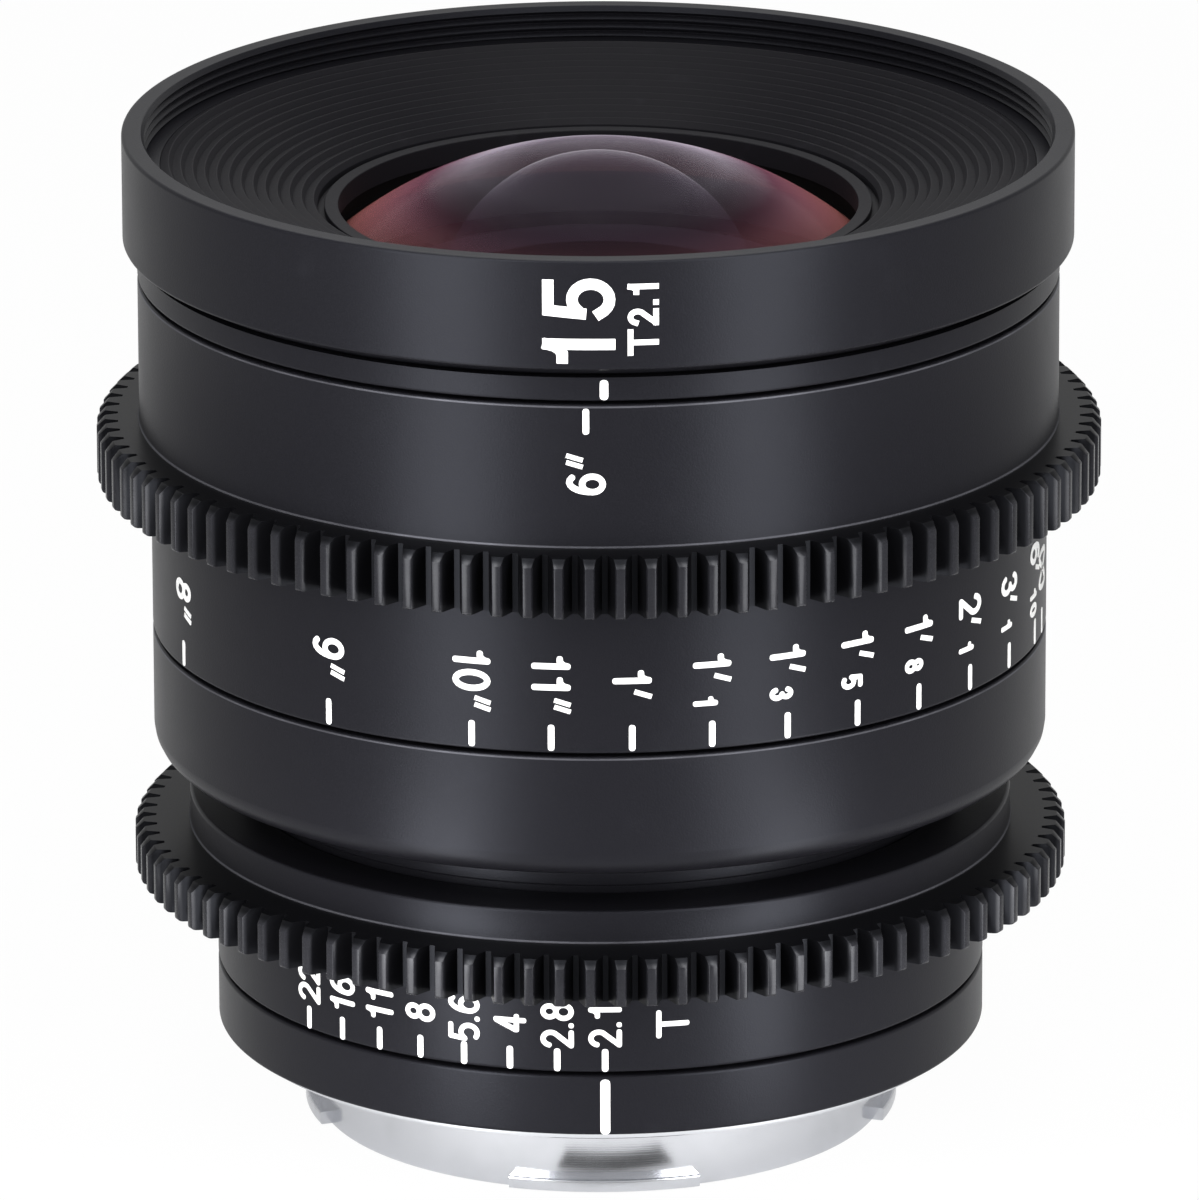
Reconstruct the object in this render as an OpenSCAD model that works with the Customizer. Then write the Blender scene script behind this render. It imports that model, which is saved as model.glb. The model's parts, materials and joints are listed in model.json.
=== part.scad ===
// Cinema prime lens with geared focus and iris rings.
// Sizes are in millimetres. The origin is the centre of the camera flange's face,
// and +Z runs along the optical axis to the front. The index marks face -Y.
// The rings are a stack: each height below moves everything in front of it.

/* [Front ring] */
// Diameter of the filter thread's bore
filter_bore = 76.2; // [74:0.1:86]
// Depth of the filter thread and its relief
filter_depth = 2.8; // [2.4:0.1:4]
// Height of the relief groove below the thread
relief_h = 0.9; // [0.5:0.1:1.2]
// Depth of the relief groove in the wall
relief_d = 0.4; // [0.2:0.05:0.6]
// Wall round the filter thread
front_wall = 1.9; // [1.4:0.1:4]
// Height of the cylindrical front wall
front_h = 9.15; // [8:0.05:14]
// Height of the bevel below the front wall
front_bevel_h = 1.05; // [0.8:0.05:3]
// Thickness of the front ring's floor
front_floor = 1.9; // [1.6:0.1:3]
// Ledge that carries the baffle inside the thread
baffle_ledge = 1.3; // [1:0.1:2]
// Number of ribs on the baffle
baffle_ribs = 13; // [4:1:20]
// Height of one baffle rib
rib_h = 0.4; // [0.2:0.05:0.6]
// Height of the baffle's inner lip above the floor
lip_h = 1.8; // [1:0.1:3]
// Width of the baffle's inner lip
lip_w = 1.75; // [1.2:0.05:2.5]

/* [Focus ring] */
// Bore of the main barrel that the focus ring turns on
barrel_bore = 66; // [64:0.5:72]
// Wall of the main barrel
barrel_wall = 2; // [1.5:0.1:3]
// Wall of the focus sleeve under its gear
focus_wall = 1.75; // [1.4:0.05:3]
// Step from that wall to the sleeve's outside
sleeve_step = 1.75; // [1:0.05:2.5]
// Wall of the distance scale ring
scale_wall = 0.76; // [0.6:0.02:1.5]
// Height of the focus sleeve above its gear
sleeve_h = 12.25; // [11:0.05:20]
// Height of the distance scale ring
scale_h = 13; // [12:0.1:20]
// Height of the index ring
index_h = 2.05; // [1.5:0.05:4]
// Turn of the focus ring from close focus to infinity, in degrees
focus_throw = 262; // [120:1:280]
// Travel of the focus group over that turn
focus_travel = 3.5; // [2:0.1:4.5]

/* [Drive gears] */
// Module of the drive gear teeth
gear_module = 0.8; // [0.6:0.05:1]
// Height of the focus gear
focus_gear_w = 5.05; // [4:0.05:8]
// Rim of the focus gear under its teeth
focus_gear_web = 3.5; // [2.5:0.1:6]
// Height of the iris gear
iris_gear_w = 4; // [3.6:0.1:8]
// Rim of the iris gear under its teeth
iris_gear_web = 5.11; // [3.5:0.01:8]
// Length of the bevel on the front ends of the teeth
tooth_bevel = 0.9; // [0.4:0.1:1.2]

/* [Rear barrel] */
// Height of the rear barrel
rear_h = 9.55; // [8:0.05:16]
// Rounding of the rear barrel's lower edge
rear_round = 1.8; // [0.5:0.1:2.4]
// Height of the neck between the rear barrel and the iris ring
neck_h = 4.5; // [2:0.1:8]
// Step from the rear tube to the neck
neck_step = 2.5; // [1.5:0.1:4]
// Bore of the rear tube that the iris ring turns on
rear_bore = 56; // [55:0.5:60]
// Wall of the rear tube
tube_wall = 2; // [1.5:0.1:3]
// Ledge in the rear tube that carries the rear cell
rear_seat = 2; // [1.5:0.1:2.5]

/* [Iris ring] */
// Wall of the iris ring
iris_wall = 2.34; // [1.8:0.02:4]
// Step from the iris ring's band to its hub
hub_step = 2.26; // [1.5:0.02:4]
// Height of the hub above the iris gear
hub_h = 3.2; // [2:0.1:6]
// Height of the T-stop band below the iris gear
iris_band_h = 8.15; // [7:0.05:14]
// Turn of the iris ring from open to closed, in degrees
iris_throw = 49; // [40:1:51]

/* [Iris blades] */
// Radius of the circle of blade pivots
pivot_r = 22; // [20:0.1:24]
// Opening radius with the iris open
open_r = 11.2; // [9:0.1:12]
// Opening radius with the iris closed
closed_r = 1.05; // [0.8:0.05:2]
// Gap from the pivots' circle to the outer edge of a blade's crescent
blade_edge = 2.5; // [2:0.1:3.5]
// Angle that a blade's crescent spans
blade_span = 115; // [95:1:120]
// Angle from a blade's pivot to its drive pin
lever_angle = 25; // [22:1:27]
// Radius of the blade pins
blade_pin_r = 0.8; // [0.5:0.05:0.9]
// Thickness of a blade
blade_t = 0.15; // [0.1:0.01:0.2]
// Height from one blade to the next
blade_pitch = 0.35; // [0.3:0.01:0.5]
// Thickness of the blade actuator
actuator_t = 2; // [1.8:0.1:3]
// Thickness of the plate that carries the blade pivots
base_t = 1.4; // [1:0.1:2.5]
// Radius of the pin that turns the actuator
drive_pin_r = 0.75; // [0.5:0.05:0.8]

/* [Camera mount] */
// Height of the black mount collar
collar_h = 5.25; // [4.5:0.05:10]
// Thickness of the bayonet's flange plate
plate_t = 2; // [1.6:0.1:3]
// Height of the flange rim that shows below the collar
flange_rim_h = 0.8; // [0.5:0.1:1.2]
// Inset of the flange rim from the collar's outside
flange_inset = 0.64; // [0.3:0.02:1]
// Width of the flange rim outside the collar's recess
flange_rim_w = 1.1; // [0.8:0.05:1.3]
// Outside diameter of the bayonet's spigot
spigot_d = 48.4; // [47:0.1:49.5]
// Wall of the bayonet's spigot
spigot_wall = 1.6; // [1.2:0.1:2]
// Height of the bayonet's spigot behind the flange
spigot_h = 6.2; // [5.5:0.1:9]
// Reach of the rear cell behind the flange's face
rear_reach = 0.6; // [0.3:0.1:3]
// Reach of the bayonet lugs beyond the spigot
lug_reach = 1.1; // [0.6:0.1:1.5]
// Thickness of the bayonet lugs
lug_t = 1.3; // [0.8:0.1:2]
// Angle that one bayonet lug spans
lug_angle = 37; // [20:1:60]
// Number of bayonet lugs
lug_count = 4; // [3:1:4]
// Number of mount screws
screw_count = 6; // [3:1:8]
// Radius of a mount screw's shank
screw_r = 0.8; // [0.6:0.05:0.9]
// Thickness of the mount shim
shim_t = 0.2; // [0.1:0.05:0.5]

/* [Glass] */
// Radius of the front glass's dome
dome_r = 34.9; // [31:0.1:44]
// Diameter of the front glass
front_glass_d = 45; // [40:0.5:47]
// Edge thickness of the front glass
front_edge_t = 3.58; // [3:0.02:4]
// Centre thickness of the front glass
front_centre_t = 2.2; // [1.6:0.1:3]
// Radius of the front glass's hollow side
front_hollow_r = 20.5; // [19.5:0.1:24]
// Diameter of the second glass
second_glass_d = 37; // [33:0.5:38]
// Diameter of the focusing glasses
focus_glass_d = 41; // [37:0.5:42]
// Diameter of the rear glasses
rear_glass_d = 36; // [32:0.5:37]

/* [Clearances] */
// Gap between pieces that move past each other
run_gap = 0.3; // [0.2:0.05:0.4]
// Radial gap between pieces that are fixed to each other
fit_gap = 0.05; // [0.02:0.01:0.1]
// Radial gap of a pin that turns or slides in its hole
pin_gap = 0.06; // [0.04:0.01:0.1]
// Broken edge on the outer corners of the rings
edge = 0.3; // [0.1:0.05:0.4]

/* [Hidden] */
$fn = 144;

// One node for each blade
blade_count = 7;
// Overshoot of the shapes that cut
cut = 0.5;

black = "#26262a";
dark = "#1a1a1c";
bright = "#c9cdd2";
brass = "#b89a55";
glass = "#7a4a66";

// Heights of the stack, from the flange's face to the rim
z_collar = plate_t + collar_h - (plate_t - flange_rim_h);
z_band = z_collar + run_gap;
z_iris_gear = z_band + iris_band_h;
z_hub = z_iris_gear + iris_gear_w;
z_hub_top = z_hub + hub_h;
z_rear = z_hub_top + neck_h;
z_rear_top = z_rear + rear_h;
z_scale = z_rear_top + run_gap;
z_focus_gear = z_scale + scale_h;
z_sleeve = z_focus_gear + focus_gear_w;
z_sleeve_top = z_sleeve + sleeve_h;
z_index = z_sleeve_top + run_gap;
z_front = z_index + index_h;
z_floor = z_front + front_floor;
z_rim = z_front + front_bevel_h + front_h;
z_thread = z_rim - filter_depth;

// Radii of the focus ring and of what it turns on
r_bore = barrel_bore / 2;
r_barrel = r_bore + barrel_wall;
r_focus_in = r_barrel + run_gap;
r_core = r_focus_in + focus_wall;
r_scale_in = r_core + fit_gap;
r_scale = r_scale_in + scale_wall;
r_sleeve = r_core + sleeve_step;

// Radii of the front ring and its baffle
r_filter = filter_bore / 2;
r_front = r_filter + front_wall;
r_ledge = r_filter - baffle_ledge;

// Radii of the rear tube, the iris ring and the mount
r_tube_in = rear_bore / 2;
r_tube = r_tube_in + tube_wall;
r_seat = r_tube_in - rear_seat;
r_neck = r_tube + neck_step;
r_iris_in = r_tube + run_gap;
r_band = r_iris_in + iris_wall;
r_hub = r_band + hub_step;
r_flange = r_band - flange_inset;
r_plate = r_flange - flange_rim_w;
r_spigot = spigot_d / 2;
r_throat = r_spigot - spigot_wall;
r_screws = (r_seat + r_tube) / 2;
z_tube = plate_t + shim_t;
web_t = 3;
screw_depth = 2.6;
screw_start = 30;
socket_share = 0.9;
lock_hole_r = 1.6;
lock_hole_depth = 1.2;
lock_hole_at = -60;

// Iris stack, hung from the height of its drive pin in the middle of the iris gear
z_pin = z_iris_gear + iris_gear_w / 2;
z_actuator = z_pin - actuator_t / 2;
z_base_top = z_actuator - 2 * run_gap - blade_count * blade_pitch;
z_base = z_base_top - base_t;
actuator_rim = 1.75;
base_lap = 1.3;
base_in = open_r + base_lap;
blade_r = pivot_r - blade_edge;
pivot_point = [pivot_r, 0];
lever = 2 * pivot_r * sin(lever_angle / 2);
lever_rest = 90 + lever_angle / 2;
blade_swing = 2 * asin((open_r - closed_r) / (2 * pivot_r));
cam_w = 2 * (blade_pin_r + pin_gap);
cam_steps = 12;
actuator_in = norm(cam_point(1)) - cam_w / 2 - actuator_rim;
cover_t = 1.2;
pin_seat = 3;
pin_recess = 0.2;
pin_angle = asin((drive_pin_r + run_gap) / r_tube_in);
iris_pin_at = 60;

// Rear group
cell_lip_t = 1.5;
z_seat = z_base - cell_lip_t;
baffle_t = 1;
cell_end_gap = 0.6;
z_cell_end = -rear_reach;
z_rear_baffle = z_cell_end - cell_end_gap - baffle_t;
r_rear_cell = r_throat - run_gap;
r_rear_glass = rear_glass_d / 2;
r_rear_bore = r_rear_glass + fit_gap;
ring_land = 1.5;
rear_front_r = 80;
rear_front_edge = 2.5;
rear_back_top_r = 200;
rear_back_low_r = 70;
rear_back_edge = 2.4;
back_ring_h = 2;
z_back_glass = z_cell_end + back_ring_h;
spacer_wall = 1;
window_w = 30;
window_h = 20;
window_corner = 3;

// Focus group and helicoid
guide_t = 2.5;
z_guide = z_scale - guide_t;
shoulder_t = 2;
lock_t = 2;
flange_t = 2.45;
z_lock = z_front - fit_gap - lock_t;
z_cell_flange = z_lock - flange_t;
z_shoulder = z_cell_flange - shoulder_t;
z_helicoid = z_scale + run_gap;
z_helicoid_top = z_shoulder - run_gap;
helicoid_wall = 3.4;
r_helicoid = r_bore - run_gap;
r_helicoid_in = r_helicoid - helicoid_wall;
r_focus_cell = r_helicoid_in - run_gap;
front_cell_depth = 13.2;
z_front_cell = z_front - front_cell_depth;
end_room = 0.9;
z_focus_cell = z_scale + focus_travel + end_room;
z_focus_cell_top = z_front_cell - end_room;
rod_r = 1;
rod_edge = 1.8;
rod_count = 3;
rod_recess = 1;
r_rods = r_focus_cell - rod_edge;
thread_band = 3.5;
r_cell_bore = r_focus_cell - thread_band;
guide_lap = 1;
guide_in = r_cell_bore - guide_lap;
r_focus_glass = focus_glass_d / 2;
r_focus_bore = r_focus_glass + fit_gap;
focus_tube_wall = 2;
focus_seat_t = 1.5;
focus_seat_h = 3;
focus_web = 2.5;
focus_top_step = 1;
focus_ring_t = 1.6;
z_focus_seat = z_focus_cell + focus_seat_h;
doublet_edge = 1.3;
doublet_base = 4.35;
doublet_front_r = 60;
doublet_joint_r = 70;
z_doublet = z_focus_seat + doublet_base;
z_key = z_scale + scale_h / 2;
key_w = 5;
key_h = 3;
key_depth = 1.7;
r_key_in = r_helicoid - key_depth;
r_key_out = sqrt(pow(r_core, 2) - pow(key_w / 2, 2)) - fit_gap;
key_angle = asin((key_w / 2 + run_gap) / r_bore);
key_at = 0;

// Front group
front_seat_depth = 3.7;
z_front_seat = z_front - front_seat_depth;
r_front_glass = front_glass_d / 2;
r_front_bore = r_front_glass + fit_gap;
z_dome = z_front_seat + front_edge_t - sqrt(pow(dome_r, 2) - pow(r_front_glass, 2));
z_apex = z_dome + dome_r;
retainer_lap = 0.5;
retainer_in = r_front_glass - retainer_lap;
retainer_w = 2.5;
r_retainer = r_front_bore + retainer_w;
z_retainer = sphere_z(z_dome, dome_r, retainer_in) + fit_gap;
cell_recess = 0.2;
z_cell_top = z_floor - cell_recess;
hub_wall = 2.4;
r_cell_hub = r_retainer + fit_gap + hub_wall;
floor_gap = 1;
r_floor_bore = r_cell_hub + floor_gap;
r_second_glass = second_glass_d / 2;
r_second_bore = r_second_glass + fit_gap;
cell_wall = 2.95;
r_front_cell = r_second_bore + cell_wall;
second_seat_t = 1.3;
z_second = z_front_cell + second_seat_t;
second_edge = 1.8;
second_top_r = 40;
second_hollow_r = 19;
second_centre_t = 1.6;
second_ring_t = 2;
rib_lean = 0.7;
lip_gap = 0.65;
r_lip = r_front_glass - lip_gap;
r_lip_out = r_lip + lip_w;
z_lip = z_floor + lip_h;

// Depth of a sphere's cap at a given radius
function sag(ball, r) = ball - sqrt(pow(ball, 2) - pow(r, 2));

// Height at radius r of a sphere whose centre is at height z
function sphere_z(z, ball, r) = z + sqrt(pow(ball, 2) - pow(r, 2));

function polar(r, a) = [r * cos(a), r * sin(a)];

function turn(p, a) = [p[0] * cos(a) - p[1] * sin(a), p[0] * sin(a) + p[1] * cos(a)];

// Proportions of a gear tooth, in modules, and the slope of its flanks
addendum = 1;
dedendum = 1.25;
pressure_angle = 20;

// Tooth counts that leave the rim its thickness
function teeth(rim_r) = round(2 * (rim_r / gear_module + dedendum));

focus_teeth = teeth(r_scale_in + focus_gear_web);
iris_teeth = teeth(r_band + fit_gap + iris_gear_web);

// A solid turned from an outline of [radius, height] points
module turned(points) {
    rotate_extrude() polygon(points);
}

module tube(r_out, r_in, z0, z1) {
    turned([[r_in, z0], [r_out, z0], [r_out, z1], [r_in, z1]]);
}

// Copies of a child round the axis
module around(count, start = 0) {
    for (i = [0 : count - 1]) rotate(start + i * 360 / count) children();
}

// A radial hole or pin along +X turned to an angle
module radial(r, x0, x1, z, angle) {
    rotate(angle) translate([x0, 0, z]) rotate([0, 90, 0]) cylinder(r = r, h = x1 - x0, $fn = 48);
}

// An arc slot through a tube wall
module arc_slot(r_out, r_in, z0, z1, from, to) {
    rotate(from) rotate_extrude(angle = to - from)
        translate([r_in, z0]) square([r_out - r_in, z1 - z0]);
}

// Ring gear with straight-flanked teeth, bevelled at their front ends
module ring_gear(count, bore_r, z0, z1) {
    pitch_r = gear_module * count / 2;
    tip_r = pitch_r + addendum * gear_module;
    root_r = pitch_r - dedendum * gear_module;
    flank = tan(pressure_angle);
    half = PI * gear_module / 4;
    tip_a = (half - addendum * gear_module * flank) / tip_r * 180 / PI;
    root_a = (half + dedendum * gear_module * flank) / root_r * 180 / PI;
    outline = [for (i = [0 : count - 1]) let (a = (i + 0.5) * 360 / count - 90)
        each [polar(root_r, a - root_a), polar(tip_r, a - tip_a),
              polar(tip_r, a + tip_a), polar(root_r, a + root_a)]];
    intersection() {
        difference() {
            translate([0, 0, z0]) linear_extrude(z1 - z0) polygon(outline);
            translate([0, 0, z0 - cut]) cylinder(r = bore_r, h = z1 - z0 + 2 * cut);
        }
        turned([
            [0, z0 - cut], [tip_r - edge, z0 - cut], [tip_r - edge, z0], [tip_r + cut, z0 + edge + cut],
            [tip_r + cut, z1 - tooth_bevel - cut], [tip_r - tooth_bevel, z1],
            [tip_r - tooth_bevel, z1 + cut], [0, z1 + cut]
        ]);
    }
}

// A lens blank between a lower and an upper height
module glass_blank(r, z0, z1) {
    translate([0, 0, z0]) cylinder(r = r, h = z1 - z0);
}

// A sphere on the axis, fine enough for a shallow lens surface
module ball(r, z) {
    translate([0, 0, z]) sphere(r = r, $fn = 360);
}

module front_ring() {
    color(black) turned([
        [r_floor_bore, z_front], [r_sleeve, z_front], [r_front, z_front + front_bevel_h],
        [r_front, z_rim - edge], [r_front - edge, z_rim], [r_filter + edge, z_rim],
        [r_filter, z_rim - edge], [r_filter, z_thread + relief_h],
        [r_filter + relief_d, z_thread + relief_h], [r_filter + relief_d, z_thread],
        [r_ledge, z_thread], [r_ledge, z_floor], [r_floor_bore, z_floor]
    ]);
}

module front_baffle() {
    r_out = r_ledge - fit_gap;
    step = (r_out - r_lip_out) / baffle_ribs;
    drop = (z_thread - z_lip) / baffle_ribs;
    ribs = [for (i = [0 : baffle_ribs - 1])
        each [[r_out - i * step, z_thread - i * drop],
              [r_out - (i + rib_lean) * step, z_thread - (i + rib_lean) * drop + rib_h]]];
    groove = lip_w / 3;
    color(dark) turned(concat(
        [[r_lip, z_floor], [r_out, z_floor]],
        ribs,
        [[r_lip_out, z_lip], [r_lip_out, z_lip - groove], [r_lip_out - groove, z_lip - groove],
         [r_lip_out - groove, z_lip], [r_lip, z_lip]]
    ));
}

module front_cell() {
    color(dark) turned([
        [r_second_bore - ring_land, z_front_cell], [r_front_cell, z_front_cell],
        [r_front_cell, z_cell_flange], [r_bore - fit_gap, z_cell_flange],
        [r_bore - fit_gap, z_lock], [r_cell_hub, z_lock], [r_cell_hub, z_cell_top],
        [r_retainer + fit_gap, z_cell_top], [r_retainer + fit_gap, z_retainer],
        [r_front_bore, z_retainer], [r_front_bore, z_front_seat], [r_second_bore, z_front_seat],
        [r_second_bore, z_second], [r_second_bore - ring_land, z_second]
    ]);
}

module front_element() {
    color(glass) difference() {
        intersection() {
            ball(dome_r, z_dome);
            glass_blank(r_front_glass, z_front_seat, z_apex + cut);
        }
        ball(front_hollow_r, z_apex - front_centre_t - front_hollow_r);
    }
}

module front_retaining_ring() {
    color(dark) tube(r_retainer, retainer_in, z_retainer, z_cell_top);
}

module second_element() {
    z_ball = z_second + second_edge - sqrt(pow(second_top_r, 2) - pow(r_second_glass, 2));
    color(glass) difference() {
        intersection() {
            ball(second_top_r, z_ball);
            glass_blank(r_second_glass, z_second, z_ball + second_top_r + cut);
        }
        ball(second_hollow_r, z_ball + second_top_r - second_centre_t - second_hollow_r);
    }
}

module second_retaining_ring() {
    z_ball = z_second + second_edge - sqrt(pow(second_top_r, 2) - pow(r_second_glass, 2));
    r_in = r_second_glass - ring_land;
    z0 = sphere_z(z_ball, second_top_r, r_in) + fit_gap;
    color(dark) tube(r_second_glass, r_in, z0, z0 + second_ring_t);
}

module front_lock_ring() {
    color(dark) tube(r_bore - fit_gap, r_cell_hub + fit_gap, z_lock, z_lock + lock_t);
}

module index_ring() {
    color(black) turned([
        [r_barrel + fit_gap, z_index], [r_sleeve - edge, z_index], [r_sleeve, z_index + edge],
        [r_sleeve, z_front], [r_barrel + fit_gap, z_front]
    ]);
}

module main_barrel() {
    color(dark) difference() {
        turned([
            [r_bore, z_rear + web_t], [r_barrel, z_rear + web_t], [r_barrel, z_front],
            [r_bore, z_front], [r_bore, z_cell_flange], [r_front_cell + fit_gap, z_cell_flange],
            [r_front_cell + fit_gap, z_shoulder], [r_bore, z_shoulder]
        ]);
        arc_slot(r_barrel + cut, r_bore - cut, z_key - key_h / 2 - run_gap, z_key + key_h / 2 + run_gap,
                 key_at - focus_throw - key_angle, key_at + key_angle);
    }
}

module guide_plate() {
    color(dark) difference() {
        tube(r_bore - fit_gap, guide_in, z_guide, z_scale);
        around(rod_count) translate([r_rods, 0, z_guide - cut])
            cylinder(r = rod_r + fit_gap, h = guide_t + 2 * cut);
    }
}

module guide_rods() {
    color(bright) around(rod_count) translate([r_rods, 0, z_guide])
        cylinder(r = rod_r, h = z_focus_cell_top - z_guide - rod_recess);
}

module focus_sleeve() {
    color(black) difference() {
        turned([
            [r_focus_in, z_scale], [r_core, z_scale], [r_core, z_sleeve], [r_sleeve, z_sleeve],
            [r_sleeve, z_sleeve_top - edge], [r_sleeve - edge, z_sleeve_top], [r_focus_in, z_sleeve_top]
        ]);
        key_block(r_focus_in - cut, r_core + cut, fit_gap);
    }
}

module focus_gear() {
    color(black) ring_gear(focus_teeth, r_scale_in, z_focus_gear, z_sleeve);
}

module distance_scale_ring() {
    color(black) turned([
        [r_scale_in, z_scale], [r_scale - edge, z_scale], [r_scale, z_scale + edge],
        [r_scale, z_focus_gear], [r_scale_in, z_focus_gear]
    ]);
}

module helicoid_ring() {
    color(brass) difference() {
        tube(r_helicoid, r_helicoid_in, z_helicoid, z_helicoid_top);
        key_block(r_key_in - fit_gap, r_helicoid + cut, fit_gap);
    }
}

// The bar that joins the focus sleeve to the helicoid ring
module key_block(x0, x1, gap = 0) {
    rotate(key_at) translate([x0, -key_w / 2 - gap, z_key - key_h / 2 - gap])
        cube([x1 - x0, key_w + 2 * gap, key_h + 2 * gap]);
}

module focus_drive_key() {
    color(bright) key_block(r_key_in, r_key_out);
}

module focus_cell() {
    z_web = z_focus_seat + focus_web;
    z_tube_top = z_focus_cell_top - focus_top_step;
    color(dark) difference() {
        turned([
            [r_cell_bore, z_focus_cell], [r_focus_cell, z_focus_cell], [r_focus_cell, z_focus_cell_top],
            [r_cell_bore, z_focus_cell_top], [r_cell_bore, z_web],
            [r_focus_bore + focus_tube_wall, z_web],
            [r_focus_bore + focus_tube_wall, z_tube_top], [r_focus_bore, z_tube_top],
            [r_focus_bore, z_focus_seat], [r_focus_bore - ring_land, z_focus_seat],
            [r_focus_bore - ring_land, z_focus_seat - focus_seat_t],
            [r_cell_bore, z_focus_seat - focus_seat_t]
        ]);
        around(rod_count) translate([r_rods, 0, z_focus_cell - cut])
            cylinder(r = rod_r + pin_gap, h = z_focus_cell_top - z_focus_cell + 2 * cut);
    }
}

module focus_element_front() {
    z_joint = z_doublet + sqrt(pow(doublet_joint_r, 2) - pow(r_focus_glass, 2));
    z_face = z_doublet + doublet_edge - sqrt(pow(doublet_front_r, 2) - pow(r_focus_glass, 2));
    color(glass) intersection() {
        ball(doublet_joint_r, z_joint);
        ball(doublet_front_r, z_face);
        glass_blank(r_focus_glass, z_doublet - r_focus_glass, z_doublet + r_focus_glass);
    }
}

module focus_element_rear() {
    z_joint = z_doublet - fit_gap + sqrt(pow(doublet_joint_r, 2) - pow(r_focus_glass, 2));
    color(glass) difference() {
        glass_blank(r_focus_glass, z_focus_seat, z_doublet - fit_gap);
        ball(doublet_joint_r, z_joint);
    }
}

module focus_retaining_ring() {
    z_face = z_doublet + doublet_edge - sqrt(pow(doublet_front_r, 2) - pow(r_focus_glass, 2));
    r_in = r_focus_glass - ring_land;
    z0 = sphere_z(z_face, doublet_front_r, r_in) + fit_gap;
    color(dark) tube(r_focus_glass, r_in, z0, z0 + focus_ring_t);
}

module rear_barrel() {
    slot_half = drive_pin_r + run_gap;
    color(black) difference() {
        rotate_extrude() difference() {
            polygon([
                [r_seat, z_tube], [r_tube, z_tube], [r_tube, z_hub_top + run_gap],
                [r_neck, z_hub_top + run_gap], [r_neck, z_rear], [r_scale, z_rear],
                [r_scale, z_rear_top - edge], [r_scale - edge, z_rear_top],
                [r_barrel + fit_gap, z_rear_top], [r_barrel + fit_gap, z_rear + web_t],
                [r_tube_in, z_rear + web_t], [r_tube_in, z_seat], [r_seat, z_seat]
            ]);
            translate([r_scale - rear_round, z_rear - cut]) difference() {
                square([rear_round + cut, rear_round + cut]);
                translate([0, rear_round + cut]) circle(r = rear_round);
            }
        }
        arc_slot(r_tube + cut, r_tube_in - cut, z_pin - slot_half, z_pin + slot_half,
                 iris_pin_at - pin_angle, iris_pin_at + iris_throw + pin_angle);
        around(screw_count, screw_start) translate([r_screws, 0, z_tube - cut])
            cylinder(r = screw_r + fit_gap, h = screw_depth + run_gap + cut, $fn = 32);
    }
}

module iris_ring() {
    color(black) difference() {
        turned([
            [r_iris_in, z_band], [r_band - edge, z_band], [r_band, z_band + edge], [r_band, z_hub],
            [r_hub, z_hub], [r_hub, z_hub_top - edge], [r_hub - edge, z_hub_top], [r_iris_in, z_hub_top]
        ]);
        radial(drive_pin_r + fit_gap, r_iris_in - cut, r_band + cut, z_pin, iris_pin_at);
    }
}

module iris_gear() {
    color(black) ring_gear(iris_teeth, r_band + fit_gap, z_iris_gear, z_hub);
}

module iris_drive_pin() {
    color(bright) radial(drive_pin_r, r_tube_in - pin_seat, r_band - pin_recess, z_pin, iris_pin_at);
}

// Path of a blade's drive pin as the actuator sees it, from open to closed
function cam_point(t) =
    turn(pivot_point + polar(lever, lever_rest + t * blade_swing), -t * iris_throw);

module cam_slot() {
    points = [for (i = [0 : cam_steps]) cam_point(i / cam_steps)];
    normals = [for (i = [0 : cam_steps])
        let (d = points[min(i + 1, cam_steps)] - points[max(i - 1, 0)]) [-d[1], d[0]] / norm(d)];
    polygon(concat(
        [for (i = [0 : cam_steps]) points[i] + normals[i] * cam_w / 2],
        [for (i = [cam_steps : -1 : 0]) points[i] - normals[i] * cam_w / 2]
    ));
    for (p = [points[0], points[cam_steps]]) translate(p) circle(d = cam_w, $fn = 32);
}

module iris_actuator() {
    color(brass) difference() {
        translate([0, 0, z_actuator]) linear_extrude(actuator_t) difference() {
            circle(r = r_tube_in - run_gap);
            circle(r = actuator_in);
            around(blade_count) cam_slot();
        }
        radial(drive_pin_r + fit_gap, r_tube_in - pin_seat - fit_gap, r_tube_in + cut, z_pin, iris_pin_at);
    }
}

module iris_base() {
    color(dark) difference() {
        tube(r_tube_in - fit_gap, base_in, z_base, z_base_top);
        around(blade_count) translate([pivot_r, 0, z_base - cut])
            cylinder(r = blade_pin_r + pin_gap, h = base_t + 2 * cut, $fn = 32);
    }
}

module iris_cover() {
    z0 = z_actuator + actuator_t + run_gap;
    color(dark) tube(r_tube_in - fit_gap, actuator_in, z0, z0 + cover_t);
}

// Sector of a circle between two angles
module sector(r, from, to) {
    steps = 6;
    polygon(concat([[0, 0]], [for (i = [0 : steps]) polar(2 * r, from + (to - from) * i / steps)]));
}

// Outline of one blade: the crescent, and the tab with its two pins
module blade_outline() {
    tab = 2 * blade_pin_r;
    intersection() {
        difference() {
            circle(r = blade_r);
            circle(r = open_r);
        }
        sector(blade_r, 0, blade_span);
    }
    intersection() {
        difference() {
            circle(r = pivot_r + tab);
            circle(r = (open_r + blade_r) / 2);
        }
        sector(pivot_r, -asin(tab / pivot_r), lever_angle + asin(tab / pivot_r));
    }
}

// Blades lie in steps, each in a level of its own, so they pass over one another
module iris_blade(i) {
    z0 = z_base_top + run_gap + i * blade_pitch;
    color("#3a3a3e") rotate(i * 360 / blade_count) {
        translate([0, 0, z0]) linear_extrude(blade_t) blade_outline();
        translate([pivot_r, 0, z_base]) cylinder(r = blade_pin_r, h = z0 + blade_t - z_base, $fn = 32);
        translate(concat(polar(pivot_r, lever_angle), z0))
            cylinder(r = blade_pin_r, h = z_actuator + actuator_t - run_gap - z0, $fn = 32);
    }
}

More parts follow.
